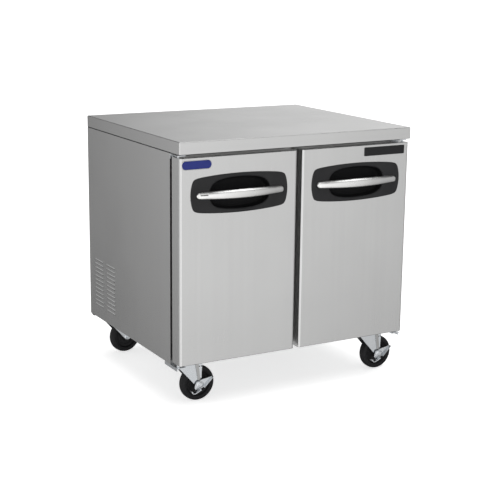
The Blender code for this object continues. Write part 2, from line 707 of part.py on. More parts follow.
def badges(left_axis, right_axis):
    """Plain trim plates at the doors' upper outer corners."""
    back = DOOR_FRONT - CLEAR
    front = back - BADGE_THICKNESS
    for name, axis, side, from_edge, length, radius, finish in (
            ("door_left_badge", left_axis, -1, 0.006, 0.112, 0.0150, "blue_badge"),
            ("door_right_badge", right_axis, 1, 0.020, 0.172, 0.0030, "black_badge")):
        outer = side * (DOOR_OUTER - from_edge)
        inner = outer - side * length
        mesh = rounded_box_mesh(name, (outer, front, BADGE_TOP - BADGE_HEIGHT), (inner, back, BADGE_TOP),
                                radius, "Y", 6)
        door_part(name, mesh, finish, axis)


# ---------------------------------------------------------------- shelves

def wire_shelf(name, side):
    """Flat grid: bars front to back, tied by cross bars at the front, middle and back."""
    inner = 0.0025
    outer = LINER_SIDE - 0.0025
    pitch = (outer - inner - SHELF_BAR) / SHELF_BARS
    middle = (SHELF_FRONT + SHELF_BACK) / 2
    rows = ((SHELF_FRONT + SHELF_CROSS, middle - SHELF_CROSS / 2),
            (middle + SHELF_CROSS / 2, SHELF_BACK - SHELF_CROSS))
    shelf = part(name, box_mesh(name, (side * inner, SHELF_FRONT, SHELF_Z),
                                (side * outer, SHELF_BACK, SHELF_Z + SHELF_THICKNESS)), "zinc")
    gaps = []
    for index in range(SHELF_BARS):
        near = inner + SHELF_BAR + index * pitch
        far = near + pitch - SHELF_BAR
        for front, back in rows:
            gaps.append(((side * near, front, SHELF_Z - 0.01), (side * far, back, SHELF_Z + 0.02)))
    cut(shelf, boxes_mesh(name + "_gaps", gaps))


def side_rail(name, side):
    """Angle on the liner's side that carries a shelf's outer edge."""
    wall = side * (LINER_SIDE - CLEAR)
    bottom = SHELF_Z - CLEAR - SHEET
    rail = part(name, box_mesh(name, (wall, SHELF_FRONT, bottom),
                               (side * (LINER_SIDE - RAIL_WIDTH), SHELF_BACK, bottom + SHEET)), "stainless")
    add(rail, box_mesh(name + "_wall", (wall, SHELF_FRONT, bottom - RAIL_WIDTH),
                       (wall - side * SHEET, SHELF_BACK, bottom + SHEET / 2)))


def centre_rail():
    """Tee between the mullion and the back wall that carries both shelves' inner edges."""
    bottom = SHELF_Z - CLEAR - SHEET
    front = MULLION_BACK + CLEAR
    half_flange = 0.014
    half_web = 0.00125
    rail = part("shelf_rail_centre", box_mesh("shelf_rail_centre", (-half_flange, front, bottom),
                                              (half_flange, UPPER_BACK - CLEAR, bottom + SHEET)), "stainless")
    add(rail, box_mesh("shelf_rail_web", (-half_web, front, bottom - 0.012),
                       (half_web, UPPER_BACK - CLEAR, bottom + SHEET / 2)))


# ---------------------------------------------------------------- fans and coils

def fan_shape(fan, radius, hub_radius, height, blades, bore):
    """Blades and bore for a fan hub that turns about its own Z axis."""
    for index in range(blades):
        blade = box_mesh(f"{fan.name}_blade_{index}", (hub_radius * 0.5, -height * 0.62, -0.001),
                         (radius, height * 0.62, 0.001))
        pitch = Matrix.Rotation(math.radians(32), 4, "X")
        blade.transform(Matrix.Rotation(math.tau * index / blades, 4, "Z") @ pitch)
        add(fan, blade)
    cut(fan, cylinder_mesh(fan.name + "_bore", bore, (0, 0, -height), (0, 0, height * 0.2), 16))


def evaporator():
    """Cold-side box: cover with fan grille and air slots, coil, motor and fan."""
    evaporator_cover()
    evaporator_coil()
    middle = Vector((EVAPORATOR_FAN_X, EVAPORATOR_FRONT + 0.020, EVAPORATOR_FAN_Z))
    inward = Vector((0, 1, 0))
    half_hub = 0.008
    axis = empty("evaporator_fan_axis", middle, FRAME)
    hub = cylinder_mesh("evaporator_fan", EVAPORATOR_HUB, (0, 0, -half_hub), (0, 0, half_hub), 20)
    fan = part("evaporator_fan", hub, "black_plastic", parent=axis, rotation=(math.pi / 2, 0, 0))
    fan_shape(fan, EVAPORATOR_FAN_RADIUS, EVAPORATOR_HUB, 2 * half_hub, 5, SHAFT_RADIUS + 0.0004)
    motor_end = Vector((middle.x, UPPER_BACK - CLEAR, middle.z))
    motor = part("evaporator_motor", cylinder_mesh("evaporator_motor", EVAPORATOR_MOTOR_RADIUS,
                                                   middle + 0.010 * inward, motor_end, 20), "black_enamel")
    add(motor, cylinder_mesh("evaporator_shaft", SHAFT_RADIUS, middle + 0.020 * inward,
                             middle - 0.001 * inward, 12))


def evaporator_cover():
    cover = part("evaporator_cover", box_mesh(
        "evaporator_cover", (-EVAPORATOR_HALF, EVAPORATOR_FRONT, EVAPORATOR_BOTTOM),
        (EVAPORATOR_HALF, UPPER_BACK - CLEAR, EVAPORATOR_TOP)), "white_plastic")
    inside = EVAPORATOR_HALF - EVAPORATOR_WALL
    cut(cover, box_mesh("evaporator_hollow",
                        (-inside, EVAPORATOR_FRONT + EVAPORATOR_WALL, EVAPORATOR_BOTTOM + EVAPORATOR_WALL),
                        (inside, UPPER_BACK + 0.02, EVAPORATOR_TOP - EVAPORATOR_WALL)))
    slots = []
    pitch, half_slot = 0.017, 0.005
    for row in range(-3, 4):
        level = EVAPORATOR_FAN_Z + row * pitch
        half = math.sqrt(EVAPORATOR_FAN_RADIUS ** 2 - (row * pitch) ** 2)
        slots.append(((EVAPORATOR_FAN_X - half, EVAPORATOR_FRONT - 0.01, level - half_slot),
                      (EVAPORATOR_FAN_X + half, EVAPORATOR_FRONT + 0.01, level + half_slot)))
    column_pitch, slot_width, end_margin = 0.022, 0.012, 0.020
    for column in range(8):
        left = 0.010 + column * column_pitch
        slots.append(((left, EVAPORATOR_FRONT + end_margin, EVAPORATOR_BOTTOM - 0.01),
                      (left + slot_width, UPPER_BACK - end_margin, EVAPORATOR_BOTTOM + 0.01)))
    cut(cover, boxes_mesh("evaporator_slots", slots))
    cut(cover, cylinder_mesh("knob_hole", SHAFT_RADIUS + 0.0006,
                             (KNOB_X, EVAPORATOR_FRONT - 0.01, EVAPORATOR_FAN_Z),
                             (KNOB_X, EVAPORATOR_FRONT + 0.01, EVAPORATOR_FAN_Z), 16))


def finned_block(name, low, high, along, finish, fins=14):
    """Coil block with grooves between bundles of fins; along is the axis that the fins are stacked on."""
    coil = part(name, box_mesh(name, low, high), finish)
    low = Vector(low)
    high = Vector(high)
    axis = "XYZ".index(along)
    open_side = 0 if along == "Y" else 1
    groove_width, groove_depth, beyond = 0.003, 0.008, 0.01
    pitch = (high[axis] - low[axis]) / fins
    grooves = []
    for index in range(1, fins):
        first = low - Vector((beyond, beyond, beyond))
        second = high + Vector((beyond, beyond, beyond))
        first[axis] = low[axis] + index * pitch - groove_width / 2
        second[axis] = first[axis] + groove_width
        second[open_side] = low[open_side] + groove_depth
        grooves.append((tuple(first), tuple(second)))
    cut(coil, boxes_mesh(name + "_grooves", grooves))


def evaporator_coil():
    finned_block("evaporator_coil", (0.005, EVAPORATOR_FRONT + 0.012, EVAPORATOR_BOTTOM + 0.012),
                 (EVAPORATOR_HALF - 0.010, UPPER_BACK - 0.010, EVAPORATOR_TOP - 0.012), "X", "coil")


def thermostat_knob():
    """Knob with a pointer ridge, its shaft through the cover."""
    axis = empty("thermostat_axis", (KNOB_X, EVAPORATOR_FRONT - CLEAR, EVAPORATOR_FAN_Z), FRAME)
    knob = part("thermostat_knob", cylinder_mesh("thermostat_knob", KNOB_RADIUS, (0, 0, 0), (0, -0.012, 0),
                                                 24, KNOB_RADIUS - 0.002), "black_plastic", parent=axis)
    add(knob, box_mesh("knob_ridge", (-0.0025, -0.008, -0.0125), (0.0025, -0.018, 0.0125)))
    add(knob, cylinder_mesh("knob_shaft", SHAFT_RADIUS, (0, -0.004, 0), (0, 0.008, 0), 12))


# ---------------------------------------------------------------- condensing unit

def compressor():
    """Welded steel pot with a seam flange, on its foot plate, with a terminal box on its side."""
    base = BASE_TOP + 0.014
    profile = [(0.0, 0.172), (0.030, 0.170), (0.056, 0.162), (0.074, 0.146), (0.082, 0.124), (0.083, 0.082),
               (0.087, 0.080), (0.087, 0.074), (0.083, 0.072), (0.080, 0.030), (0.068, 0.012), (0.045, 0.003),
               (0.0, 0.0)]
    pot = turned_part("compressor", profile, 20, "black_enamel", location=(COMPRESSOR_X, COMPRESSOR_Y, base))
    foot = COMPRESSOR_FOOT
    add(pot, rounded_box_mesh("compressor_feet", (-foot.x, -foot.y, -COMPRESSOR_FEET_HEIGHT),
                              (foot.x, foot.y, 0.006), 0.012, "Z", 3))
    add(pot, box_mesh("terminal_box", (-0.120, -0.030, 0.060), (-0.070, 0.030, 0.125)))


def condenser():
    """Coil, shroud with its round mouth, and the fan with its motor on a stand."""
    finned_block("condenser_coil", (CONDENSER_X - CONDENSER_THICKNESS, CONDENSER_FRONT, CONDENSER_BOTTOM),
                 (CONDENSER_X, CONDENSER_BACK, CONDENSER_TOP), "Y", "coil")
    start = CONDENSER_X + CLEAR
    shroud = part("condenser_shroud", box_mesh(
        "condenser_shroud", (start, CONDENSER_FRONT, CONDENSER_BOTTOM),
        (start + SHROUD_DEPTH, CONDENSER_BACK, CONDENSER_TOP)), "galvanized")
    cut(shroud, box_mesh("shroud_inside", (start - 0.01, CONDENSER_FRONT + SHEET, CONDENSER_BOTTOM + SHEET),
                         (start + SHROUD_DEPTH - SHEET, CONDENSER_BACK - SHEET, CONDENSER_TOP - SHEET)))
    fan_centre = Vector((start + 0.028, CONDENSER_FAN_Y, CONDENSER_FAN_Z))
    along = Vector((1, 0, 0))
    cut(shroud, cylinder_mesh("shroud_mouth", CONDENSER_FAN_RADIUS + 0.004,
                              fan_centre - 0.008 * along, fan_centre + 0.032 * along, 32))
    half_hub = 0.009
    axis = empty("condenser_fan_axis", fan_centre, FRAME)
    hub = cylinder_mesh("condenser_fan", CONDENSER_HUB, (0, 0, -half_hub), (0, 0, half_hub), 20)
    fan = part("condenser_fan", hub, "aluminium", parent=axis, rotation=(0, -math.pi / 2, 0))
    fan_shape(fan, CONDENSER_FAN_RADIUS, CONDENSER_HUB, 2 * half_hub, 4, SHAFT_RADIUS + 0.0014)
    motor_start = fan_centre + 0.014 * along
    motor = part("condenser_motor", cylinder_mesh(
        "condenser_motor", CONDENSER_MOTOR_RADIUS, motor_start,
        motor_start + CONDENSER_MOTOR_LENGTH * along, 24), "black_enamel")
    add(motor, cylinder_mesh("condenser_shaft", SHAFT_RADIUS + 0.001, motor_start + 0.01 * along,
                             fan_centre - 0.001 * along, 12))
    stand_half = 0.030
    add(motor, box_mesh("motor_stand", (motor_start.x + 0.020, CONDENSER_FAN_Y - stand_half, BASE_TOP),
                        (motor_start.x + 0.055, CONDENSER_FAN_Y + stand_half, CONDENSER_FAN_Z - 0.020)))


# ---------------------------------------------------------------- casters

def caster_places():
    across = WIDTH / 2 - CASTER_INSET
    return {
        "front_left": (-across, CASTER_FRONT_Y),
        "front_right": (across, CASTER_FRONT_Y),
        "rear_left": (-across, CASTER_REAR_Y),
        "rear_right": (across, CASTER_REAR_Y),
    }


def caster(corner, x, y):
    """Fixed plate with king pin, swivelling fork with axle, and wheel; the front pair has a brake pedal."""
    name = "caster_" + corner
    top = CABINET_BOTTOM - CLEAR
    half = CASTER_PLATE_HALF
    plate = part(name + "_plate", rounded_box_mesh(
        name + "_plate", (-half.x, -half.y, top - CASTER_PLATE_SHEET), (half.x, half.y, top), 0.006, "Z", 2),
        "zinc", location=(x, y, 0))
    race = top - RACE_DEPTH
    add(plate, cylinder_mesh(name + "_race", RACE_RADIUS, (0, 0, race), (0, 0, top - 0.002), 24,
                             RACE_RADIUS + 0.004))
    add(plate, cylinder_mesh(name + "_king_pin", KING_PIN_RADIUS, (0, 0, race - 0.0060),
                             (0, 0, race + 0.004), 16))
    add(plate, cylinder_mesh(name + "_king_head", KING_PIN_RADIUS + 0.005, (0, 0, race - 0.0090),
                             (0, 0, race - 0.0050), 12))
    swivel = empty(name + "_swivel_axis", (x, y, 0), FRAME, CASTER_TURNS[corner])
    fork(name, swivel, race)
    axle = empty(name + "_axle_axis", (CASTER_LEAD, 0, WHEEL_RADIUS), swivel)
    wheel(name, axle)
    if corner.startswith("front"):
        brake_pedal(name, axle)


def leg_outline(top):
    """Fork leg seen from the side: wide at the top, round about the axle."""
    half_width = 0.042
    points = [(-half_width, top), (half_width, top)]
    steps = 6
    for step in range(steps + 1):
        angle = math.radians(20 - 220 * step / steps)
        points.append((CASTER_LEAD + FORK_BOSS_RADIUS * math.cos(angle),
                       WHEEL_RADIUS + FORK_BOSS_RADIUS * math.sin(angle)))
    return points


def fork(name, swivel, race):
    """Pressed yoke: a round crown under the race, two ribbed legs, and the axle bolt with its nut."""
    top = race - CLEAR
    crown = cylinder_mesh(name + "_fork", FORK_CROWN_RADIUS, (0, 0, top - FORK_SHEET), (0, 0, top), 28)
    yoke = part(name + "_fork", crown, "zinc", parent=swivel)
    outside = FORK_INNER + FORK_SHEET
    for side, word in ((-1, "near"), (1, "far")):
        add(yoke, prism_mesh(f"{name}_{word}_leg", leg_outline(top - 0.0005), side * FORK_INNER,
                             side * outside, "Y"))
        add(yoke, box_mesh(f"{name}_{word}_rib", (-0.006, side * (FORK_INNER + 0.001), WHEEL_RADIUS + 0.034),
                           (0.004, side * (outside + 0.002), top - 0.001)))
    head_end, nut_end = -0.0350, 0.0280
    for radius, start, end, word in ((AXLE_RADIUS, head_end + 0.0005, nut_end + 0.0020, "bolt"),
                                     (AXLE_HEAD_RADIUS, head_end, head_end + 0.0040, "head"),
                                     (AXLE_HEAD_RADIUS, outside - 0.0010, nut_end, "nut")):
        add(yoke, cylinder_mesh(f"{name}_axle_{word}", radius, (CASTER_LEAD, start, WHEEL_RADIUS),
                                (CASTER_LEAD, end, WHEEL_RADIUS), 12 if radius == AXLE_HEAD_RADIUS else 16))
    cut(yoke, cylinder_mesh(name + "_king_bore", KING_PIN_RADIUS + 0.0006, (0, 0, top - 0.02),
                            (0, 0, top + 0.02), 16))


def wheel(name, axle):
    """Tyre, web and hub in one moulding, turned about the axle."""
    half = WHEEL_WIDTH / 2
    hub = FORK_INNER - 0.001
    one_side = [(AXLE_RADIUS + 0.0005, hub), (0.0165, hub), (0.0185, half - 0.007), (0.0440, half - 0.006),
                (0.0475, half - 0.0005), (0.0570, half), (0.0615, half - 0.0035),
                (WHEEL_RADIUS, half - 0.0090)]
    other_side = [(radius, -height) for radius, height in reversed(one_side)]
    turned_part(name + "_wheel", one_side + other_side, 24, "wheel", closed=True,
                parent=axle, rotation=(math.pi / 2, 0, 0))


def brake_pedal(name, axle):
    """Stamped rocker on the axle's outer end, with a toe pad at each end."""
    reach = PEDAL_REACH
    outline = [(-reach, -0.006), (-0.020, -0.019), (0.016, -0.018), (reach, -0.004), (reach, 0.004),
               (0.020, 0.018), (-0.016, 0.018), (-reach, 0.002)]
    pedal = part(name + "_brake", prism_mesh(name + "_brake", outline, PEDAL_FRONT, PEDAL_BACK, "Y"), "zinc",
                 parent=axle, rotation=(0, -math.radians(PEDAL_TILT), 0))
    for end, low, word in ((reach, -0.004, "on"), (-reach, -0.006, "off")):
        add(pedal, box_mesh(f"{name}_{word}_pad", (end * 1.08, PEDAL_FRONT - 0.016, low),
                            (end * 0.70, PEDAL_BACK - 0.0005, low + 0.003)))
    cut(pedal, cylinder_mesh(name + "_brake_bore", AXLE_RADIUS + 0.0005, (0, PEDAL_FRONT - 0.01, 0),
                             (0, PEDAL_BACK + 0.01, 0), 16))


# ---------------------------------------------------------------- assembly

def move_origin_to_the_middle():
    """Carries everything so that the origin is the middle of the covered floor area."""
    turned_wheel = WIDTH / 2 - CASTER_INSET + CASTER_LEAD + WHEEL_RADIUS
    bar_front = DOOR_FRONT - PLATE_THICKNESS - 2 * CLEAR - BAR_REACH
    FRAME.location = ((WIDTH / 2 - turned_wheel) / 2, -(bar_front + GLAND_FLANGE) / 2, 0)


def build():
    worktop()
    side_panel("side_panel_left", -1)
    side_panel("side_panel_right", 1)
    back_panel()
    rear_grille()
    power_gland()
    base_pan()
    insulation()
    liner()
    face_frame()
    for word, side in (("left", -1), ("right", 1)):
        top_hinge("hinge_top_" + word, side)
        bottom_hinge("hinge_bottom_" + word, side)
        door("door_" + word, side)
        wire_shelf("shelf_" + word, side)
        side_rail("shelf_rail_" + word, side)
    badges(bpy.data.objects["door_left_axis"], bpy.data.objects["door_right_axis"])
    centre_rail()
    evaporator()
    thermostat_knob()
    compressor()
    condenser()
    for corner, (x, y) in caster_places().items():
        caster(corner, x, y)
    move_origin_to_the_middle()


build()
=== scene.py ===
"""Looks of the undercounter refrigerator: finer pieces, materials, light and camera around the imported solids.

Metres, in the row frame: +Z up, the doors face -Y, and the floor is z = 0.
"""
import json
import math

import bmesh
import bpy
from mathutils import Matrix, Vector


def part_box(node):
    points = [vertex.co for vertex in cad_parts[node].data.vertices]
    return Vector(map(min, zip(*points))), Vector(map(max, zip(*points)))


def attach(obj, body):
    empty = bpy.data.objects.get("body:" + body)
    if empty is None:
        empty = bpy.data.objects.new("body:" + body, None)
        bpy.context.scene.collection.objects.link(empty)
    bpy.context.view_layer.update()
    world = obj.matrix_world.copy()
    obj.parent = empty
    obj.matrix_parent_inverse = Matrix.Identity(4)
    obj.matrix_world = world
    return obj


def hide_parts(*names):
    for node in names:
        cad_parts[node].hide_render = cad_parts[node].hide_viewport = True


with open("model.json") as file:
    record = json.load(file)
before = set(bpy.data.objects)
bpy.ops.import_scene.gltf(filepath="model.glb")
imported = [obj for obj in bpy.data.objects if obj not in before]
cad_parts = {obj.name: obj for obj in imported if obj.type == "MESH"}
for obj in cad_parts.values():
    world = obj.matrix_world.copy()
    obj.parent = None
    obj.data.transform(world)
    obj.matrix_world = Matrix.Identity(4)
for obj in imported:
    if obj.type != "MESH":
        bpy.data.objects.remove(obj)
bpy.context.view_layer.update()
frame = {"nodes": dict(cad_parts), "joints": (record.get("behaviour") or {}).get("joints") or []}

NODES = frame["nodes"]
JOINTS = {joint["name"]: joint for joint in frame["joints"]}
SIDES = {"left": -1, "right": 1}
CORNERS = ("front_left", "front_right", "rear_left", "rear_right")
SHEET = 0.0015
GAP = 0.0003
# Height of the black strip under the worktop, a painted shadow line.
SHADOW_STRIP_HEIGHT = 0.0017
SIDE_LOUVRE_COLUMNS = ((0.052, 0.129), (0.163, 0.240))
SIDE_LOUVRE_ROWS, SIDE_LOUVRE_PITCH, SIDE_LOUVRE_LOWEST, SIDE_LOUVRE_HEIGHT = 12, 0.0160, 0.210, 0.006
REAR_LOUVRE_COLUMNS = (-0.400, -0.200, 0.000)
REAR_LOUVRE_ROWS, REAR_LOUVRE_PITCH, REAR_LOUVRE_LOWEST, REAR_LOUVRE_HEIGHT = 9, 0.021, 0.200, 0.008
REAR_LOUVRE_WIDTH = 0.160
CABINET = "cabinet"


# ---------------------------------------------------------------- shapes

def smooth_steps(count):
    """Numbers from 0 to 1, both included."""
    return [step / (count - 1) for step in range(count)]


def rounded_loop(half_a, half_b, radius, steps=5):
    """Points round a rectangle with rounded corners, about its centre."""
    radius = max(min(radius, half_a * 0.999, half_b * 0.999), 0.00005)
    points = []
    for corner, (sign_a, sign_b) in enumerate(((1, 1), (-1, 1), (-1, -1), (1, -1))):
        for step in range(steps):
            angle = math.radians(90 * (corner + step / (steps - 1)))
            points.append((sign_a * (half_a - radius) + radius * math.cos(angle),
                           sign_b * (half_b - radius) + radius * math.sin(angle)))
    return points


def circle_loop(radius, count=32):
    return [(radius * math.cos(math.tau * step / count), radius * math.sin(math.tau * step / count))
            for step in range(count)]


def cross_loop(radius, count=32):
    """Outline of a cross recess in a screw's head."""
    points = []
    for step in range(count):
        angle = math.tau * step / count
        reach = radius * (0.28 + 0.72 * abs(math.cos(2 * angle)) ** 5)
        points.append((reach * math.cos(angle), reach * math.sin(angle)))
    return points


def barrel_loop(half_a, half_b, sag_a, sag_b, sharpness, count=96):
    """A rectangle with bulging sides and round corners: sag is each bulge's height."""
    bulge_a = sag_a / (half_b - sag_b) ** 2
    bulge_b = sag_b / (half_a - sag_a) ** 2
    points = []
    for step in range(count):
        turn = math.tau * (step + 0.5) / count
        angle = math.atan2(half_b * math.sin(turn), half_a * math.cos(turn))
        across, up = abs(math.cos(angle)), abs(math.sin(angle))
        to_side = 2 * half_a / (across + math.sqrt(across ** 2 + 4 * bulge_a * half_a * up ** 2))
        to_top = 2 * half_b / (up + math.sqrt(up ** 2 + 4 * bulge_b * half_b * across ** 2))
        reach = (to_side ** -sharpness + to_top ** -sharpness) ** (-1 / sharpness)
        points.append((reach * math.cos(angle), reach * math.sin(angle)))
    return points


def rounding(depth, radius):
    """How far a rounded edge lies inside its corner at a depth below the face."""
    if depth >= radius:
        return 0.0
    return radius - math.sqrt(radius ** 2 - (radius - depth) ** 2)


def add_stack(shape, loops, joined=False):
    """Skins closed loops of equal count in turn. The ends are capped, or joined to each other."""
    rings = [[shape.verts.new(point) for point in loop] for loop in loops]
    count = len(rings[0])
    pairs = list(zip(rings, rings[1:]))
    if joined:
        pairs.append((rings[-1], rings[0]))
    else:
        shape.faces.new(rings[0])
        shape.faces.new(rings[-1])
    for first, second in pairs:
        for index in range(count):
            after = (index + 1) % count
            shape.faces.new((first[index], first[after], second[after], second[index]))


def add_box(shape, first, second, radius=0.0006, segments=2):
    """A box between two opposite corners with rounded edges."""
    low = Vector(map(min, first, second))
    high = Vector(map(max, first, second))
    place = Matrix.Translation((low + high) / 2) @ Matrix.Diagonal((*(high - low), 1.0))
    made = bmesh.ops.create_cube(shape, size=1.0, matrix=place)
    if radius:
        edges = list({edge for vert in made["verts"] for edge in vert.link_edges})
        bmesh.ops.bevel(shape, geom=edges, offset=radius, segments=segments, affect="EDGES", profile=0.5)


def axis_frame(origin, along):
    """A matrix whose Z axis points along a direction, at an origin."""
    turn = Vector(along).normalized().to_track_quat("Z", "Y").to_matrix().to_4x4()
    return Matrix.Translation(origin) @ turn


def add_turned(shape, profile, place=Matrix(), count=32, joined=False):
    """Radius and height pairs turned about the place's Z axis."""
    loops = [[place @ Vector((a, b, height)) for a, b in circle_loop(max(radius, 0.00002), count)]
             for radius, height in profile]
    add_stack(shape, loops, joined)


def add_tube(shape, points, radius, count=10):
    """A round tube along points, with capped ends."""
    points = [Vector(point) for point in points]
    loops = []
    side = None
    for index, point in enumerate(points):
        ahead = points[min(index + 1, len(points) - 1)] - points[max(index - 1, 0)]
        ahead.normalize()
        if side is None:
            side = ahead.orthogonal().normalized()
        side = (side - ahead * side.dot(ahead)).normalized()
        up = ahead.cross(side)
        loops.append([point + side * a + up * b for a, b in circle_loop(radius, count)])
    add_stack(shape, loops)


def smooth_path(corners, radius, steps=5):
    """A line through corner points, with each inner corner rounded."""
    corners = [Vector(corner) for corner in corners]
    path = [corners[0]]
    for before, corner, after in zip(corners, corners[1:], corners[2:]):
        reach = min(radius, (before - corner).length * 0.49, (after - corner).length * 0.49)
        start = corner + (before - corner).normalized() * reach
        end = corner + (after - corner).normalized() * reach
        for t in smooth_steps(steps):
            path.append(start * (1 - t) ** 2 + corner * 2 * t * (1 - t) + end * t ** 2)
    path.append(corners[-1])
    return path


def add_prism(shape, outline, start, end, across="Y", radius=0.0005):
    """A flat outline swept along an axis, with its rims rounded. Its numbers are the other two axes."""
    place = {"X": lambda a, b, c: (c, a, b),
             "Y": lambda a, b, c: (a, c, b),
             "Z": lambda a, b, c: (a, b, c)}[across]
    centre = Vector((sum(a for a, _ in outline), sum(b for _, b in outline))) / len(outline)
    direction = 1 if end > start else -1
    rim = (0.0, 0.3 * radius, radius)
    levels = [(depth, start + direction * depth) for depth in rim]
    levels += [(depth, end - direction * depth) for depth in reversed(rim)]
    loops = []
    for depth, level in levels:
        inset = rounding(depth, radius)
        loops.append([place(*toward(point, centre, inset), level) for point in outline])
    add_stack(shape, loops)


def toward(point, centre, inset):
    """The point moved by an inset towards a centre."""
    move = centre - Vector(point)
    return tuple(Vector(point) + move.normalized() * inset)


def add_screw(shape, origin, along, radius=0.0040):
    """A pan head with a cross recess."""
    place = axis_frame(origin, along)
    height = radius * 0.62
    loops = [[place @ Vector((a, b, level)) for a, b in circle_loop(reach)]
             for reach, level in ((radius, 0.0), (radius, 0.35 * height), (0.93 * radius, 0.66 * height),
                                  (0.74 * radius, 0.88 * height), (0.60 * radius, 0.96 * height))]
    loops.append([place @ Vector((a, b, 0.98 * height)) for a, b in cross_loop(0.56 * radius)])
    loops.append([place @ Vector((a, b, 0.35 * height)) for a, b in cross_loop(0.44 * radius)])
    add_stack(shape, loops)


def add_bolt(shape, origin, along, radius=0.0065, height=0.0045):
    """A hexagon head with a washer under it."""
    place = axis_frame(origin, along)
    washer = [(radius * 1.35, 0.0), (radius * 1.38, 0.0004), (radius * 1.32, 0.0012), (radius, 0.0012)]
    add_turned(shape, washer, place, 24)
    hexagon = circle_loop(radius * 1.1, 6)
    loops = [[place @ Vector((a * share, b * share, level)) for a, b in hexagon]
             for share, level in ((1.0, 0.0010), (1.0, height * 0.85), (0.86, height))]
    add_stack(shape, loops)


# ---------------------------------------------------------------- pieces

def piece(name, shape, body, paint, nodes=(), place=None, angle=32):
    """Makes a shape a piece that rides on a body and stands for CAD nodes."""
    if place is not None:
        bmesh.ops.transform(shape, matrix=place, verts=shape.verts)
    bmesh.ops.recalc_face_normals(shape, faces=shape.faces)
    mesh = bpy.data.meshes.new(name)
    shape.to_mesh(mesh)
    shape.free()
    mesh.materials.append(paint)
    mesh.shade_smooth()
    mesh.set_sharp_from_angle(angle=math.radians(angle))
    obj = bpy.data.objects.new(name, mesh)
    bpy.context.scene.collection.objects.link(obj)
    weights = obj.modifiers.new("flat faces stay flat", "WEIGHTED_NORMAL")
    weights.keep_sharp = True
    weights.weight = 80
    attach(obj, body)
    if nodes:
        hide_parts(*nodes)
    return obj


def dress(paint, *names):
    """A CAD node keeps its shape and gets a finished material."""
    for name in names:
        slots = NODES[name].data.materials
        slots.clear()
        slots.append(paint)


# ---------------------------------------------------------------- materials

class Paint:
    """A material's nodes around one Principled shader, with pattern coordinates in metres."""

    def __init__(self, name, roughness, metallic=0.0, coat=0.0, specular=0.5):
        self.material = bpy.data.materials.new(name)
        self.material.use_nodes = True
        self.tree = self.material.node_tree
        self.shader = self.tree.nodes["Principled BSDF"]
        self.place = self.node("ShaderNodeTexCoord").outputs["Object"]
        self.set(Roughness=roughness, Metallic=metallic)
        self.shader.inputs["Coat Weight"].default_value = coat
        self.shader.inputs["Specular IOR Level"].default_value = specular

    def node(self, kind, **settings):
        made = self.tree.nodes.new(kind)
        for key, value in settings.items():
            setattr(made, key, value)
        return made

    def set(self, **inputs):
        """Puts a value or a pattern on the shader's inputs; an underscore stands for a space."""
        for key, value in inputs.items():
            socket = self.shader.inputs[key.replace("_", " ")]
            if isinstance(value, bpy.types.NodeSocket):
                self.tree.links.new(value, socket)
            else:
                socket.default_value = value

    def noise(self, scale, stretch=(1, 1, 1), detail=4.0, rough=0.55):
        mapping = self.node("ShaderNodeMapping")
        mapping.inputs["Scale"].default_value = stretch
        self.tree.links.new(self.place, mapping.inputs["Vector"])
        made = self.node("ShaderNodeTexNoise")
        made.inputs["Scale"].default_value = scale
        made.inputs["Detail"].default_value = detail
        made.inputs["Roughness"].default_value = rough
        self.tree.links.new(mapping.outputs["Vector"], made.inputs["Vector"])
        return made.outputs["Fac"]

    def cells(self, scale, feature="F1"):
        made = self.node("ShaderNodeTexVoronoi", feature=feature)
        made.inputs["Scale"].default_value = scale
        self.tree.links.new(self.place, made.inputs["Vector"])
        return made.outputs

    def span(self, source, low, high, start=0.0, end=1.0):
        """Maps a pattern from low..high to start..end, held at the ends."""
        made = self.node("ShaderNodeMapRange")
        for key, value in (("From Min", low), ("From Max", high), ("To Min", start), ("To Max", end)):
            made.inputs[key].default_value = value
        self.tree.links.new(source, made.inputs["Value"])
        return made.outputs["Result"]

    def sum(self, first, second, operation="ADD"):
        made = self.node("ShaderNodeMath", operation=operation)
        for socket, value in zip(made.inputs, (first, second)):
            if isinstance(value, bpy.types.NodeSocket):
                self.tree.links.new(value, socket)
            else:
                socket.default_value = value
        return made.outputs["Value"]

    def mix(self, share, first, second):
        """A colour between two, each a colour or a pattern."""
        made = self.node("ShaderNodeMix", data_type="RGBA")
        self.tree.links.new(share, made.inputs["Factor"])
        for socket, value in ((made.inputs["A"], first), (made.inputs["B"], second)):
            socket = [item for item in made.inputs if item.name == socket.name and item.type == "RGBA"][0]
            if isinstance(value, bpy.types.NodeSocket):
                self.tree.links.new(value, socket)
            else:
                socket.default_value = (*value, 1.0)
        return [item for item in made.outputs if item.type == "RGBA"][0]

    def edges(self, radius):
        """1 on edges and corners, 0 on flat stretches."""
        bevel = self.node("ShaderNodeBevel", samples=4)
        bevel.inputs["Radius"].default_value = radius
        made = self.node("ShaderNodeVectorMath", operation="DOT_PRODUCT")
        self.tree.links.new(bevel.outputs["Normal"], made.inputs[0])
        self.tree.links.new(self.node("ShaderNodeNewGeometry").outputs["Normal"], made.inputs[1])
        return self.span(made.outputs["Value"], 0.99, 0.86)

    def bump(self, height, strength, distance):
        made = self.node("ShaderNodeBump")
        made.inputs["Strength"].default_value = strength
        made.inputs["Distance"].default_value = distance
        self.tree.links.new(height, made.inputs["Height"])
        self.tree.links.new(made.outputs["Normal"], self.shader.inputs["Normal"])


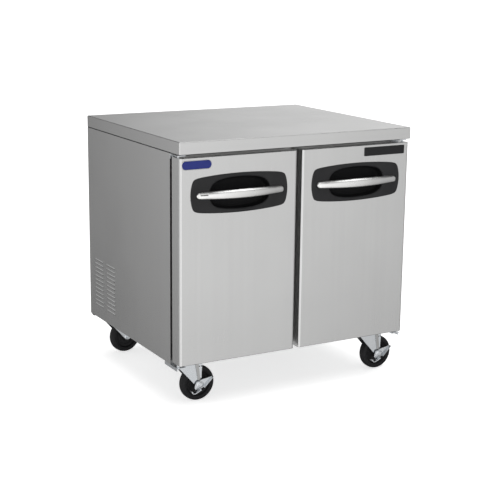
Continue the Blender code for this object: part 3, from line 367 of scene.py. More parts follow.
def brushed_steel(name, grain, colour=0.69, roughness=0.25):
    """Stainless sheet with a fine grain along one axis, faint wipe marks and slightly polished edges."""
    paint = Paint(name, roughness, metallic=1.0)
    along = {"X": (0.004, 1, 1), "Y": (1, 0.004, 1), "Z": (1, 1, 0.004)}[grain]
    lines = paint.noise(900, along, 3.0)
    bands = paint.noise(60, along, 2.0)
    wipes = paint.noise(2.6, detail=3.0)
    spots = paint.noise(30, detail=5.0, rough=0.7)
    tone = paint.sum(paint.span(lines, 0.3, 0.7, 0.0, 0.45), paint.span(bands, 0.3, 0.7, 0.0, 0.55))
    dark = tuple(colour * share for share in (0.985, 0.985, 0.98))
    light = tuple(colour * share for share in (1.015, 1.015, 1.01))
    stain = tuple(colour * share for share in (0.95, 0.95, 0.945))
    stained = paint.span(spots, 0.62, 0.82, 0.0, 0.4)
    paint.set(Base_Color=paint.mix(stained, paint.mix(tone, dark, light), stain))
    worn = paint.span(wipes, 0.35, 0.70, roughness * 0.93, roughness * 1.10)
    grained = paint.sum(worn, paint.span(lines, 0.3, 0.7, -0.008, 0.010))
    polished = paint.sum(grained, paint.span(paint.edges(0.0015), 0.0, 1.0, 0.0, 0.05), "SUBTRACT")
    paint.set(Roughness=polished)
    paint.bump(lines, 0.03, 0.00004)
    return paint.material


def galvanized_sheet():
    """Zinc-coated sheet with a spangle of flat crystals and white bloom in places."""
    paint = Paint("galvanized_sheet", 0.42, metallic=1.0)
    spangle = paint.cells(95)
    tone = paint.span(spangle["Color"], 0.2, 0.9)
    bloom = paint.span(paint.noise(7, detail=6.0, rough=0.7), 0.56, 0.78, 0.0, 0.55)
    crystals = paint.mix(tone, (0.40, 0.42, 0.43), (0.60, 0.62, 0.63))
    paint.set(Base_Color=paint.mix(bloom, crystals, (0.62, 0.63, 0.62)))
    paint.set(Roughness=paint.sum(paint.span(tone, 0, 1, 0.32, 0.48), paint.span(bloom, 0, 1, 0, 0.22)))
    paint.bump(spangle["Distance"], 0.12, 0.0002)
    return paint.material


def stucco_aluminium():
    """Embossed aluminium liner sheet: a fine pebble over a bright, slightly uneven surface."""
    paint = Paint("stucco_aluminium", 0.34, metallic=1.0)
    pebble = paint.cells(260, "SMOOTH_F1")["Distance"]
    haze = paint.noise(5, detail=4.0)
    paint.set(Base_Color=paint.mix(paint.span(haze, 0.35, 0.7), (0.70, 0.71, 0.72), (0.80, 0.81, 0.82)))
    paint.set(Roughness=paint.span(haze, 0.3, 0.7, 0.28, 0.40))
    paint.bump(pebble, 0.35, 0.0006)
    return paint.material


def moulded_plastic(name, dark, light, roughness, grain=900, worn=None, grain_depth=0.00015, specular=0.5):
    """Moulded plastic with an etched grain, uneven sheen and lighter rubbed edges."""
    paint = Paint(name, roughness, specular=specular)
    etch = paint.noise(grain, detail=3.0)
    cloud = paint.noise(14, detail=5.0, rough=0.65)
    colour = paint.mix(paint.span(cloud, 0.32, 0.70), dark, light)
    if worn is not None:
        patches = paint.span(paint.noise(120, detail=4.0), 0.40, 0.62)
        rubbed = paint.sum(paint.edges(0.0009), patches, "MULTIPLY")
        colour = paint.mix(paint.span(rubbed, 0.0, 1.0, 0.0, 0.7), colour, worn)
    paint.set(Base_Color=colour)
    paint.set(Roughness=paint.sum(paint.span(etch, 0.3, 0.7, roughness - 0.05, roughness + 0.05),
                                  paint.span(cloud, 0.35, 0.75, -0.04, 0.05)))
    paint.bump(etch, 0.30, grain_depth)
    return paint.material


def satin_metal(name, dark, light, roughness, speckle=320):
    """Plated or painted metallic finish: fine flake, soft cloudy tone and brighter rubbed edges."""
    paint = Paint(name, roughness, metallic=1.0)
    flake = paint.noise(speckle, detail=4.0)
    cloud = paint.noise(16, detail=4.0)
    tone = paint.sum(paint.span(flake, 0.3, 0.7, 0.0, 0.45), paint.span(cloud, 0.3, 0.7, 0.0, 0.55))
    rubbed = paint.span(paint.edges(0.0008), 0.0, 1.0, 0.0, 0.5)
    bright = tuple(min(1, value * 1.12) for value in light)
    paint.set(Base_Color=paint.mix(rubbed, paint.mix(tone, dark, light), bright))
    paint.set(Roughness=paint.sum(paint.span(cloud, 0.3, 0.7, roughness - 0.06, roughness + 0.07),
                                  paint.span(flake, 0.3, 0.7, -0.02, 0.03)))
    paint.bump(flake, 0.12, 0.0001)
    return paint.material


def tyre_rubber():
    """Hard black rubber with grey floor dust rubbed into the tread and edges."""
    paint = Paint("tyre_rubber", 0.50, specular=0.2)
    grain = paint.noise(700, detail=4.0)
    scuffs = paint.noise(55, (1, 1, 1), 6.0, 0.7)
    near_edges = paint.span(paint.edges(0.002), 0.0, 1.0, 0.35, 1.0)
    dust = paint.sum(paint.span(scuffs, 0.52, 0.75), near_edges, "MULTIPLY")
    base = paint.mix(paint.span(grain, 0.3, 0.7), (0.007, 0.007, 0.008), (0.013, 0.013, 0.014))
    paint.set(Base_Color=paint.mix(paint.span(dust, 0.0, 1.0, 0.0, 0.30), base, (0.085, 0.083, 0.079)))
    paint.set(Roughness=paint.span(scuffs, 0.3, 0.75, 0.38, 0.66))
    paint.bump(paint.sum(grain, scuffs), 0.25, 0.0003)
    return paint.material


def enamel(name, dark, light, roughness=0.28, coat=0.25):
    """Glossy enamel with a slight orange peel and dust in its haze."""
    paint = Paint(name, roughness, coat=coat, specular=0.3)
    peel = paint.noise(240, detail=2.0)
    haze = paint.noise(20, detail=5.0, rough=0.7)
    paint.set(Base_Color=paint.mix(paint.span(haze, 0.3, 0.75), dark, light))
    paint.set(Roughness=paint.span(haze, 0.3, 0.75, roughness * 0.8, roughness * 1.4))
    paint.bump(peel, 0.15, 0.0004)
    return paint.material


def copper_tube():
    """Copper with brown tarnish in clouds."""
    paint = Paint("copper_tube", 0.32, metallic=1.0)
    tarnish = paint.noise(60, detail=6.0, rough=0.7)
    paint.set(Base_Color=paint.mix(paint.span(tarnish, 0.38, 0.70), (0.72, 0.36, 0.22), (0.38, 0.20, 0.14)))
    paint.set(Roughness=paint.span(tarnish, 0.35, 0.70, 0.24, 0.50))
    paint.bump(tarnish, 0.10, 0.0002)
    return paint.material


def foam_core():
    """Cut polyurethane foam: fine bubbles and an uneven yellow."""
    paint = Paint("foam_core", 0.95)
    bubbles = paint.cells(700)["Distance"]
    tone = paint.noise(18, detail=5.0)
    paint.set(Base_Color=paint.mix(paint.span(tone, 0.3, 0.7), (0.70, 0.60, 0.36), (0.82, 0.74, 0.50)))
    paint.set(Roughness=paint.span(tone, 0.3, 0.7, 0.85, 1.0))
    paint.bump(bubbles, 0.5, 0.0006)
    return paint.material


STEEL_DOOR = brushed_steel("steel_vertical_grain", "Z")
STEEL_TOP = brushed_steel("steel_worktop_grain", "X")
STEEL_SIDE = brushed_steel("steel_side_grain", "Z")
# A darker copy of the stainless: painted shade for the face frame, mullion and shelf rails that sit back behind
# the doors, and on the caster ribs.
STEEL_FRAME_SHADED = brushed_steel("steel_frame_painted_shade", "X", 0.50, 0.32)
GALVANIZED = galvanized_sheet()
LINER = stucco_aluminium()
ALUMINIUM = satin_metal("mill_aluminium", (0.68, 0.69, 0.70), (0.82, 0.83, 0.84), 0.34)
ZINC = satin_metal("bright_zinc", (0.66, 0.69, 0.72), (0.84, 0.86, 0.88), 0.27)
SATIN_SILVER = satin_metal("satin_silver", (0.84, 0.84, 0.83), (0.93, 0.93, 0.92), 0.30, 900)
BLACK_MOULDING = moulded_plastic("black_moulding", (0.012, 0.012, 0.013), (0.020, 0.020, 0.021), 0.42,
                                 worn=(0.08, 0.08, 0.08), specular=0.25)
# A darker copy of the black moulding: painted shade for the deep grip pocket and for the slot in the left grip.
BLACK_PAINTED_SHADE = moulded_plastic("black_pocket_painted_shade", (0.004, 0.004, 0.0045), (0.007, 0.007, 0.0075), 0.60,
                               specular=0.12)
WHITE_PLASTIC = moulded_plastic("white_moulding", (0.74, 0.75, 0.75), (0.82, 0.83, 0.83), 0.36, 500)
GASKET = moulded_plastic("gasket_vinyl", (0.010, 0.010, 0.011), (0.018, 0.018, 0.019), 0.55, 600,
                         specular=0.25)
RUBBER = tyre_rubber()
BLACK_ENAMEL = enamel("black_enamel", (0.014, 0.014, 0.015), (0.040, 0.040, 0.042))
BLUE_ENAMEL = enamel("blue_enamel", (0.008, 0.016, 0.15), (0.012, 0.024, 0.19), 0.30, 0.1)
BLACK_PLATE = enamel("black_plate", (0.006, 0.006, 0.007), (0.010, 0.010, 0.011), 0.36, 0.05)
COPPER = copper_tube()
FOAM = foam_core()


# ---------------------------------------------------------------- cabinet

def make_worktop():
    """Folded sheet: rounded upper edges, a tight lower fold, a return flange, and the black strip it beds on, a
    painted shadow line under its edges.
    """
    low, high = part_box("worktop")
    bed = low.z
    low.z += SHADOW_STRIP_HEIGHT
    centre = (low + high) / 2
    half = (high - low) / 2
    fold, hem, corner, rim = 0.0028, 0.0012, 0.0032, 0.030
    above = (0.0, 0.0001, 0.0004, 0.0009, 0.0017, fold)
    profile = [(rounding(depth, fold), high.z - depth) for depth in above]
    profile += [(rounding(depth, hem), low.z + depth) for depth in (hem, 0.0006, 0.0002, 0.0)]
    loops = [[(centre.x + a, centre.y + b, level)
              for a, b in rounded_loop(half.x - inset, half.y - inset, corner)] for inset, level in profile]
    frame_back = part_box("face_frame")[1].y
    opening = Vector((centre.x, (frame_back + high.y - rim) / 2))
    for lift in (0.0, 0.0016):
        loops.append([(opening.x + a, opening.y + b, low.z + lift)
                      for a, b in rounded_loop(half.x - rim, (high.y - rim - frame_back) / 2, 0.006)])
    shape = bmesh.new()
    add_stack(shape, loops)
    piece("worktop_sheet", shape, CABINET, STEEL_TOP, ["worktop"])
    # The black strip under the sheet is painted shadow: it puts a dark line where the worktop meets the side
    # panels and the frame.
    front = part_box("face_frame")[0].y
    middle = (front + high.y) / 2
    outside, inside, foot = 0.0013, 0.014, bed - 0.0010
    ring = ((outside, foot), (outside, low.z), (inside, low.z), (inside, foot))
    shape = bmesh.new()
    add_stack(shape, [[(centre.x + a, middle + b, level)
                       for a, b in rounded_loop(half.x - inset, (high.y - front) / 2 - inset, 0.002)]
                      for inset, level in ring], joined=True)
    piece("worktop_shadow_strip", shape, CABINET, GASKET)


def louvre_blade(shape, low, high, outward, along):
    """One pressed louvre: a blade that curves in from its slot's upper edge to behind the lower edge.

    low and high are the slot's corners at the sheet's outer face. outward is the face's normal, and along
    is the slot's direction.
    """
    length = (high - low).dot(along)
    reach, thickness, end_taper = 0.0042, 0.0009, 0.006
    drop = (high - low).z + 0.0025
    top = low + Vector((0, 0, (high - low).z + 0.0010))
    loops = []
    for station in taper_stations(length, end_taper):
        swell = min(1.0, min(station, length - station) / end_taper) ** 0.5 * 0.9 + 0.1
        outer = []
        for t in smooth_steps(7):
            angle = t * math.pi / 2
            inward = reach * swell * (1 - math.cos(angle)) + GAP
            fall = Vector((0, 0, drop * math.sin(angle)))
            outer.append(top + along * station - outward * inward - fall)
        inner = [point - outward * thickness - Vector((0, 0, thickness * 0.4)) for point in reversed(outer)]
        loops.append(outer + inner)
    add_stack(shape, loops)


def taper_stations(length, taper):
    """Places along a louvre, closer together where its ends taper off."""
    near = [0.0, 0.15 * taper, 0.4 * taper, taper]
    return near + [length * 0.5] + [length - station for station in reversed(near)]


def louvre_hood(shape, low, high, outward, along):
    """One low hood over a slot: it swells outwards down to a lip and leaves a thin opening under it."""
    length = (high - low).dot(along)
    height = (high - low).z
    rise, thickness, end_taper = 0.0008, 0.0008, 0.005
    upper = 1.02
    profile = [(-0.0012, 1.10), (0.0, upper), (0.35 * rise, 0.85), (0.75 * rise, 0.62), (rise, 0.40),
               (rise, 0.26), (0.6 * rise, 0.20), (0.6 * rise - thickness, 0.22), (-thickness, 0.60),
               (-0.0020, upper)]
    loops = []
    for station in taper_stations(length, end_taper):
        swell = min(1.0, min(station, length - station) / end_taper) ** 0.5
        start = low + along * station
        loop = []
        for out, up in profile:
            lift = height * (upper - (upper - up) * (0.25 + 0.75 * swell))
            loop.append(start + outward * (out * swell if out > 0 else out) + Vector((0, 0, lift)))
        loops.append(loop)
    add_stack(shape, loops)


def side_louvres(name, side):
    """Hoods over the slots of one side panel, at the slots' own rows and columns."""
    low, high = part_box(name)
    outer = low.x if side < 0 else high.x
    back = high.y
    shape = bmesh.new()
    for rear, front in SIDE_LOUVRE_COLUMNS:
        for row in range(SIDE_LOUVRE_ROWS):
            bottom = SIDE_LOUVRE_LOWEST + row * SIDE_LOUVRE_PITCH
            first = Vector((outer, back - front, bottom))
            second = Vector((outer, back - rear, bottom + SIDE_LOUVRE_HEIGHT))
            louvre_hood(shape, first, second, Vector((side, 0, 0)), Vector((0, 1, 0)))
    piece(name + "_louvres", shape, CABINET, STEEL_SIDE)


def rear_louvres():
    """Blades behind the slots of the rear grille."""
    low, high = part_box("rear_grille")
    middle = (low.x + high.x) / 2
    shape = bmesh.new()
    for left in REAR_LOUVRE_COLUMNS:
        for row in range(REAR_LOUVRE_ROWS):
            bottom = REAR_LOUVRE_LOWEST + row * REAR_LOUVRE_PITCH
            first = Vector((middle + left, high.y, bottom))
            second = first + Vector((REAR_LOUVRE_WIDTH, 0, REAR_LOUVRE_HEIGHT))
            louvre_blade(shape, first, second, Vector((0, 1, 0)), Vector((1, 0, 0)))
    piece("rear_grille_louvres", shape, CABINET, GALVANIZED)


def rear_screws():
    """Screws along the edges of the back panel and the rear grille."""
    margin, sunk, radius = 0.014, 0.0006, 0.0042
    shape = bmesh.new()
    for node, rows in (("back_panel", (0.012, 0.988)), ("rear_grille", (0.05, 0.95))):
        low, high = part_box(node)
        for share in rows:
            level = low.z + (high.z - low.z) * share
            for column in smooth_steps(6):
                across = low.x + margin + (high.x - low.x - 2 * margin) * column
                add_screw(shape, (across, high.y - sunk, level), (0, 1, 0), radius)
    low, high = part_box("back_panel")
    for share in (0.25, 0.5, 0.75):
        level = low.z + (high.z - low.z) * share
        for across in (low.x + margin, high.x - margin):
            add_screw(shape, (across, high.y - sunk, level), (0, 1, 0), radius)
    piece("rear_screws", shape, CABINET, ZINC)


def cord_bush():
    """The gland: a flanged bush with finger grips."""
    low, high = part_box("power_gland")
    centre = (low + high) / 2
    place = axis_frame((centre.x, high.y, centre.z), (0, 1, 0))
    profile = [(0.0055, 0.0), (0.0130, 0.0), (0.0152, -0.0004), (0.0160, -0.0011), (0.0160, -0.0016),
               (0.0120, -0.0017), (0.0120, -0.0155), (0.0112, -0.0160), (0.0050, -0.0160), (0.0050, -0.0010)]
    shape = bmesh.new()
    add_turned(shape, profile, place, 40, joined=True)
    piece("cord_bush", shape, CABINET, BLACK_MOULDING, ["power_gland"])


def corner_pads():
    """Small rubber pads under the rear corners of the base."""
    length, width, depth, radius = 0.030, 0.025, 0.008, 0.004
    for word, side in SIDES.items():
        low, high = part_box("base_pan")
        outer = low.x if side < 0 else high.x
        centre = Vector((outer - side * (length / 2 + 0.001), high.y - width / 2 - 0.001))
        profile = ((0.0, GAP), (0.0, depth * 0.5), (0.0010, depth * 0.9), (0.0024, depth))
        shape = bmesh.new()
        add_stack(shape, [[(centre.x + a, centre.y + b, low.z - level)
                           for a, b in rounded_loop(length / 2 - inset, width / 2 - inset, radius)]
                          for inset, level in profile])
        add_screw(shape, (centre.x, centre.y, low.z - depth + 0.0002), (0, 0, -1), 0.0034)
        piece("corner_pad_" + word, shape, CABINET, RUBBER)


def hinge_screws():
    """Screws through the top hinges' flanges and the bottom hinges' plates."""
    flange_middle, flange_sheet, plate_above_tab = 0.0115, 0.0025, 0.0090
    for word in SIDES:
        low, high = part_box("hinge_top_" + word)
        shape = bmesh.new()
        for share in (0.28, 0.72):
            across = low.x + (high.x - low.x) * share
            add_screw(shape, (across, high.y - flange_sheet, low.z + flange_middle), (0, -1, 0), 0.0030)
        low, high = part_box("hinge_bottom_" + word)
        plate = low.z + plate_above_tab
        for share in (0.50, 0.72, 0.92):
            along = low.y + (high.y - low.y) * share
            add_screw(shape, ((low.x + high.x) / 2, along, plate), (0, 0, -1), 0.0042)
        piece("hinge_screws_" + word, shape, CABINET, ZINC)


# ---------------------------------------------------------------- doors

def door_box(word):
    """A door's corners, centre and half size, from its skin."""
    low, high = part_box(f"door_{word}_skin")
    return low, high, (low + high) / 2, (high - low) / 2


def upright(centre, loop, plane):
    """A loop of across and up pairs, stood at a plane y about a centre."""
    return [(centre.x + a, plane, centre.z + b) for a, b in loop]


def make_door_skin(word):
    """Folded pan with soft front corners, a turned-in back flange and the window behind the handle plate."""
    low, high, centre, half = door_box(word)
    plate_low, plate_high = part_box(f"door_{word}_handle_plate")
    window = (plate_low + plate_high) / 2
    corner, fold = 0.0078, 0.0016
    depths = (0.0, 0.0002, 0.0007, 0.0015, 0.0026, 0.0040, 0.0058, corner)

    def rim(depth, wall):
        return rounded_loop(half.x - wall - rounding(depth, corner - wall),
                            half.z - wall - rounding(depth, fold), 0.0010, 25)

    def hole(wall):
        points = barrel_loop(0.1185 + wall, 0.0575 + wall, 0.016, 0.009, 8.0, 100)
        return rotate_to_corner(points)

    loops = [upright(window, hole(0.0), low.y)]
    loops += [upright(centre, rim(depth, 0.0), low.y + depth) for depth in depths]
    back = high.y
    flange = 0.0100
    walls = ((0.0, back - 0.0008), (0.0003, back), (flange, back), (flange, back - SHEET),
             (SHEET, back - SHEET), (SHEET, low.y + corner))
    loops += [upright(centre, rim(1.0, wall), plane) for wall, plane in walls]
    loops += [upright(centre, rim(0.0012, SHEET), low.y + SHEET), upright(window, hole(0.0), low.y + SHEET)]
    shape = bmesh.new()
    add_stack(shape, loops, joined=True)
    piece(f"door_{word}_outer_pan", shape, "door_" + word, STEEL_DOOR, [f"door_{word}_skin"])


def rotate_to_corner(points):
    """Starts an outline at the point nearest to its right end, as rounded_loop does."""
    start = max(range(len(points)), key=lambda index: points[index][0] - abs(points[index][1]) * 0.01)
    return points[start:] + points[:start]


def make_door_liner(word):
    """Thermoformed inner panel: a flat rim under the gasket, a raised field and a shallow recess in it."""
    low, high, centre, half = door_box(word)
    back = high.y + GAP
    field = 0.029
    profile = [(0.0118, -0.012, 0.001), (0.0118, -0.0010, 0.001), (0.0126, -0.0003, 0.002),
               (0.0140, 0.0, 0.003), (field - 0.0030, 0.0, 0.010), (field - 0.0012, 0.0006, 0.011),
               (field + 0.0010, 0.0032, 0.012), (field + 0.0030, 0.0052, 0.013),
               (field + 0.0060, 0.0060, 0.014), (field + 0.0400, 0.0060, 0.020),
               (field + 0.0430, 0.0056, 0.021), (field + 0.0460, 0.0034, 0.022),
               (field + 0.0500, 0.0030, 0.023)]
    shape = bmesh.new()
    add_stack(shape, [upright(centre, rounded_loop(half.x - inset, half.z - inset, radius, 7), back + rise)
                      for inset, rise, radius in profile])
    piece(f"door_{word}_inner_panel", shape, "door_" + word, WHITE_PLASTIC,
          [f"door_{word}_liner"])


def make_door_gasket(word):
    """Magnetic gasket: a bellows section swept round the door, with a flat magnet face."""
    low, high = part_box(f"door_{word}_gasket")
    centre = (low + high) / 2
    half = (high - low) / 2
    depth = high.y - low.y
    section = [(0.0015, 0.0), (0.0145, 0.0), (0.0160, 0.10), (0.0158, 0.18), (0.0142, 0.27), (0.0158, 0.38),
               (0.0160, 0.50), (0.0160, 0.82), (0.0153, 0.97), (0.0140, 1.0), (0.0020, 1.0), (0.0007, 0.97),
               (0.0, 0.82), (0.0, 0.50), (0.0002, 0.38), (0.0018, 0.27), (0.0002, 0.18), (0.0, 0.10)]
    shape = bmesh.new()
    add_stack(shape, [upright(centre, rounded_loop(half.x - inset, half.z - inset, 0.0006, 3),
                              low.y + depth * share) for inset, share in section], joined=True)
    piece(f"door_{word}_magnet_gasket", shape, "door_" + word, GASKET, [f"door_{word}_gasket"])


def handle_centre(word):
    """The centre of a handle plate, and its front plane."""
    low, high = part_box(f"door_{word}_handle_plate")
    return (low + high) / 2, low.y


def pocket_loop(grow):
    return barrel_loop(0.115 + grow, 0.054 + grow, 0.016, 0.009, 8.0, 128)


def surround_loop(inset):
    return barrel_loop(0.1845 - inset, 0.067 - inset, 0.012, 0.0105, 21.0, 128)


def make_handle_plate(word):
    """Moulded surround: a crowned face with a soft rim that rolls into the opening of the grip pocket."""
    centre, front = handle_centre(word)
    seat = door_box(word)[0].y - GAP
    thick = seat - front
    rim = [(0.0, 0.0), (0.0, 0.45), (0.0003, 0.68), (0.0010, 0.85), (0.0022, 0.93), (0.0040, 0.96)]
    loops = [upright(centre, surround_loop(inset), seat - thick * share) for inset, share in rim]
    outer, inner = surround_loop(0.0040), pocket_loop(0.0042)
    for t in (0.35, 0.7, 1.0):
        blended = [(a * (1 - t) + c * t, b * (1 - t) + d * t) for (a, b), (c, d) in zip(outer, inner)]
        loops.append(upright(centre, blended, seat - thick * (0.96 + 0.04 * t)))
    roll = [(0.0026, 0.0002), (0.0014, 0.0010), (0.0006, 0.0024), (0.0002, 0.0033), (0.0030, 0.0033)]
    loops += [upright(centre, pocket_loop(grow), front + depth) for grow, depth in roll]
    loops.append(upright(centre, pocket_loop(0.0030), seat))
    shape = bmesh.new()
    add_stack(shape, loops, joined=True)
    piece(f"door_{word}_handle_surround", shape, "door_" + word, BLACK_MOULDING,
          [f"door_{word}_handle_plate"])


def make_grip_pocket(word):
    """Deep moulded cup behind the surround, with a wide fillet round its floor. Its darker copy of the black
    moulding is painted shade in the recess.
    """
    centre, front = handle_centre(word)
    outside = [(-0.0280, 0.0330), (-0.0060, 0.0325), (0.0008, 0.0200), (0.0020, 0.0046), (0.0020, 0.0036)]
    inside = [(0.0006, 0.0036), (-0.0012, 0.0120), (-0.0024, 0.0200), (-0.0036, 0.0250),
              (-0.0062, 0.0286), (-0.0105, 0.0306), (-0.0160, 0.0312), (-0.0300, 0.0315)]
    shape = bmesh.new()
    add_stack(shape, [upright(centre, pocket_loop(grow), front + depth) for grow, depth in outside + inside])
    piece(f"door_{word}_grip_pocket", shape, "door_" + word, BLACK_PAINTED_SHADE)


def make_handle_bar(word):
    """Bowed bar: a crowned face, a crisp facet along the top, blunt round ends and feet on the plate."""
    low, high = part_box(f"door_{word}_handle_bar")
    centre = (low + high) / 2
    half_length = (high.x - low.x) / 2
    back = high.y
    reach = high.y - low.y
    middle_height, end_height, end_depth, foot = 0.0150, 0.0098, 0.0080, 0.121
    section = [(0.0, -0.70), (0.16, -0.86), (0.42, -0.98), (0.68, -1.0), (0.86, -0.94), (0.95, -0.80),
               (0.985, -0.58), (1.0, -0.28), (1.0, 0.02), (0.99, 0.28), (0.965, 0.48), (0.93, 0.60),
               (0.91, 0.64), (0.62, 0.84), (0.34, 0.96), (0.12, 1.0), (0.0, 0.93)]
    loops = []
    for step in range(57):
        share = math.sin(math.pi * (step / 56 - 0.5)) * 0.9995
        across = share * half_length
        crown = 1 - share ** 2
        to_end = (half_length - abs(across)) / end_height
        blunt = math.sqrt(max(0.0, 1 - (1 - to_end) ** 2)) if to_end < 1 else 1.0
        height = (end_height + (middle_height - end_height) * crown) * (0.04 + 0.96 * blunt)
        front_y = back - (end_depth + (reach - end_depth) * crown) * (0.35 + 0.65 * blunt)
        back_y = back - (reach - 0.0105) * max(0.0, 1 - (across / foot) ** 2)
        loops.append([(centre.x + across, back_y + (front_y - back_y) * out, centre.z + height * up)
                      for out, up in section])
    shape = bmesh.new()
    add_stack(shape, loops)
    piece(f"door_{word}_grip", shape, "door_" + word, SATIN_SILVER,
          [f"door_{word}_handle_bar"], angle=16)
    if word == "left":
        # A dark tube half sunk in the bar's face at its left end: painted shade for the bar's dark slot.
        start, length, radius, above = 0.011, 0.026, 0.0015, 0.0022
        slot = []
        for t in smooth_steps(7):
            across = -half_length + start + length * t
            crown = 1 - (across / half_length) ** 2
            face = back - end_depth - (reach - end_depth) * crown
            slot.append((centre.x + across, face, centre.z + above))
        shape = bmesh.new()
        add_tube(shape, slot, radius, 10)
        piece("door_left_grip_slot_shade", shape, "door_left", BLACK_PAINTED_SHADE)


def make_badge(word, paint, corner, rim_paint):
    """Plain trim plate: a plated rim round a crowned enamel field."""
    low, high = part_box(f"door_{word}_badge")
    centre = (low + high) / 2
    half = (high - low) / 2
    rim_width = 0.0016
    shape = bmesh.new()
    rim = [(0.0, 0.0), (0.0, 0.55), (0.0003, 0.85), (0.0008, 1.0), (rim_width - 0.0004, 1.0),
           (rim_width, 0.85), (rim_width, 0.3), (rim_width, 0.0)]
    add_stack(shape, [upright(centre, rounded_loop(half.x - inset, half.z - inset, corner - inset, 9),
                              high.y - (high.y - low.y) * share) for inset, share in rim], joined=True)
    piece(f"door_{word}_badge_rim", shape, "door_" + word, rim_paint, [f"door_{word}_badge"])
    shape = bmesh.new()
    field = [(rim_width + 0.0001, 0.0), (rim_width + 0.0001, 0.55), (rim_width + 0.0007, 0.72),
             (rim_width + 0.0030, 0.80), (rim_width + 0.0080, 0.84)]
    add_stack(shape, [upright(centre, rounded_loop(half.x - inset, half.z - inset, corner - inset, 9),
                              high.y - (high.y - low.y) * share) for inset, share in field])
    piece(f"door_{word}_badge_field", shape, "door_" + word, paint)


# ---------------------------------------------------------------- casters

LEG_INNER, LEG_SHEET = 0.0195, 0.003
LEG_REAR, LEG_FRONT = -0.0425, 0.0540
BRAKE_FRONT, BRAKE_BACK = -0.0302, -0.0272


def caster_frame(corner):
    """The fork's own frame, with +X from the king pin to the axle, and the axle's reach and height."""
    pivot = Vector(JOINTS[f"caster_{corner}_turn"]["pos_m"])
    axle = Vector(JOINTS[f"wheel_{corner}_spin"]["pos_m"])
    lead = Vector((axle.x - pivot.x, axle.y - pivot.y))
    turn = Matrix.Rotation(math.atan2(lead.y, lead.x), 4, "Z")
    return Matrix.Translation((pivot.x, pivot.y, 0)) @ turn, lead.length, axle.z


def make_caster_plate(corner):
    """Mounting plate with four bolts, the pressed ball race and the king pin's nut."""
    low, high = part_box(f"caster_{corner}_plate")
    centre = (low + high) / 2
    shape = bmesh.new()
    half = (high - low) / 2
    thickness, edge = 0.003, 0.0006
    under = high.z - thickness
    sheet = ((edge, high.z), (0, high.z - edge), (0, under + edge), (edge, under))
    add_stack(shape, [[(a + centre.x, b + centre.y, level)
                       for a, b in rounded_loop(half.x - inset, half.y - inset, 0.006)]
                      for inset, level in sheet])
    for sign_x in (-1, 1):
        for sign_y in (-1, 1):
            spot = (centre.x + sign_x * (half.x - 0.0105), centre.y + sign_y * (half.y - 0.0085), under)
            add_bolt(shape, spot, (0, 0, -1), 0.0052, 0.0042)
    race = high.z - 0.0130
    place = Matrix.Translation((centre.x, centre.y, 0))
    add_turned(shape, [(0.0335, high.z - 0.0025), (0.0338, high.z - 0.0052), (0.0322, high.z - 0.0078),
                       (0.0300, high.z - 0.0094), (0.0312, high.z - 0.0108), (0.0306, race), (0.0080, race),
                       (0.0060, race - 0.0012), (0.0060, race - 0.0062), (0.0110, race - 0.0050),
                       (0.0110, race - 0.0082), (0.0095, race - 0.0090), (0.0, race - 0.0090)], place, 48)
    piece(f"caster_{corner}_mount", shape, CABINET, ZINC, [f"caster_{corner}_plate"])


def leg_outline(lead, axle_height, top):
    """Fork leg from the side: wide shoulders, a straight rear edge, a hollow front edge, a round end."""
    boss = 0.0140
    points = [(LEG_REAR, top), (LEG_REAR, top - 0.006)]
    start = math.radians(215)
    for t in smooth_steps(13):
        angle = start + t * math.radians(185)
        points.append((lead + boss * math.cos(angle), axle_height + boss * math.sin(angle)))
    shoulder = Vector((LEG_FRONT, top - 0.012))
    boss_end = Vector(points[-1])
    waist = Vector((lead + 0.0070, axle_height + 0.030))
    for t in smooth_steps(7)[1:]:
        spot = boss_end * (1 - t) ** 2 + waist * 2 * t * (1 - t) + shoulder * t ** 2
        points.append((spot.x, spot.y))
    return points + [(LEG_FRONT, top)]


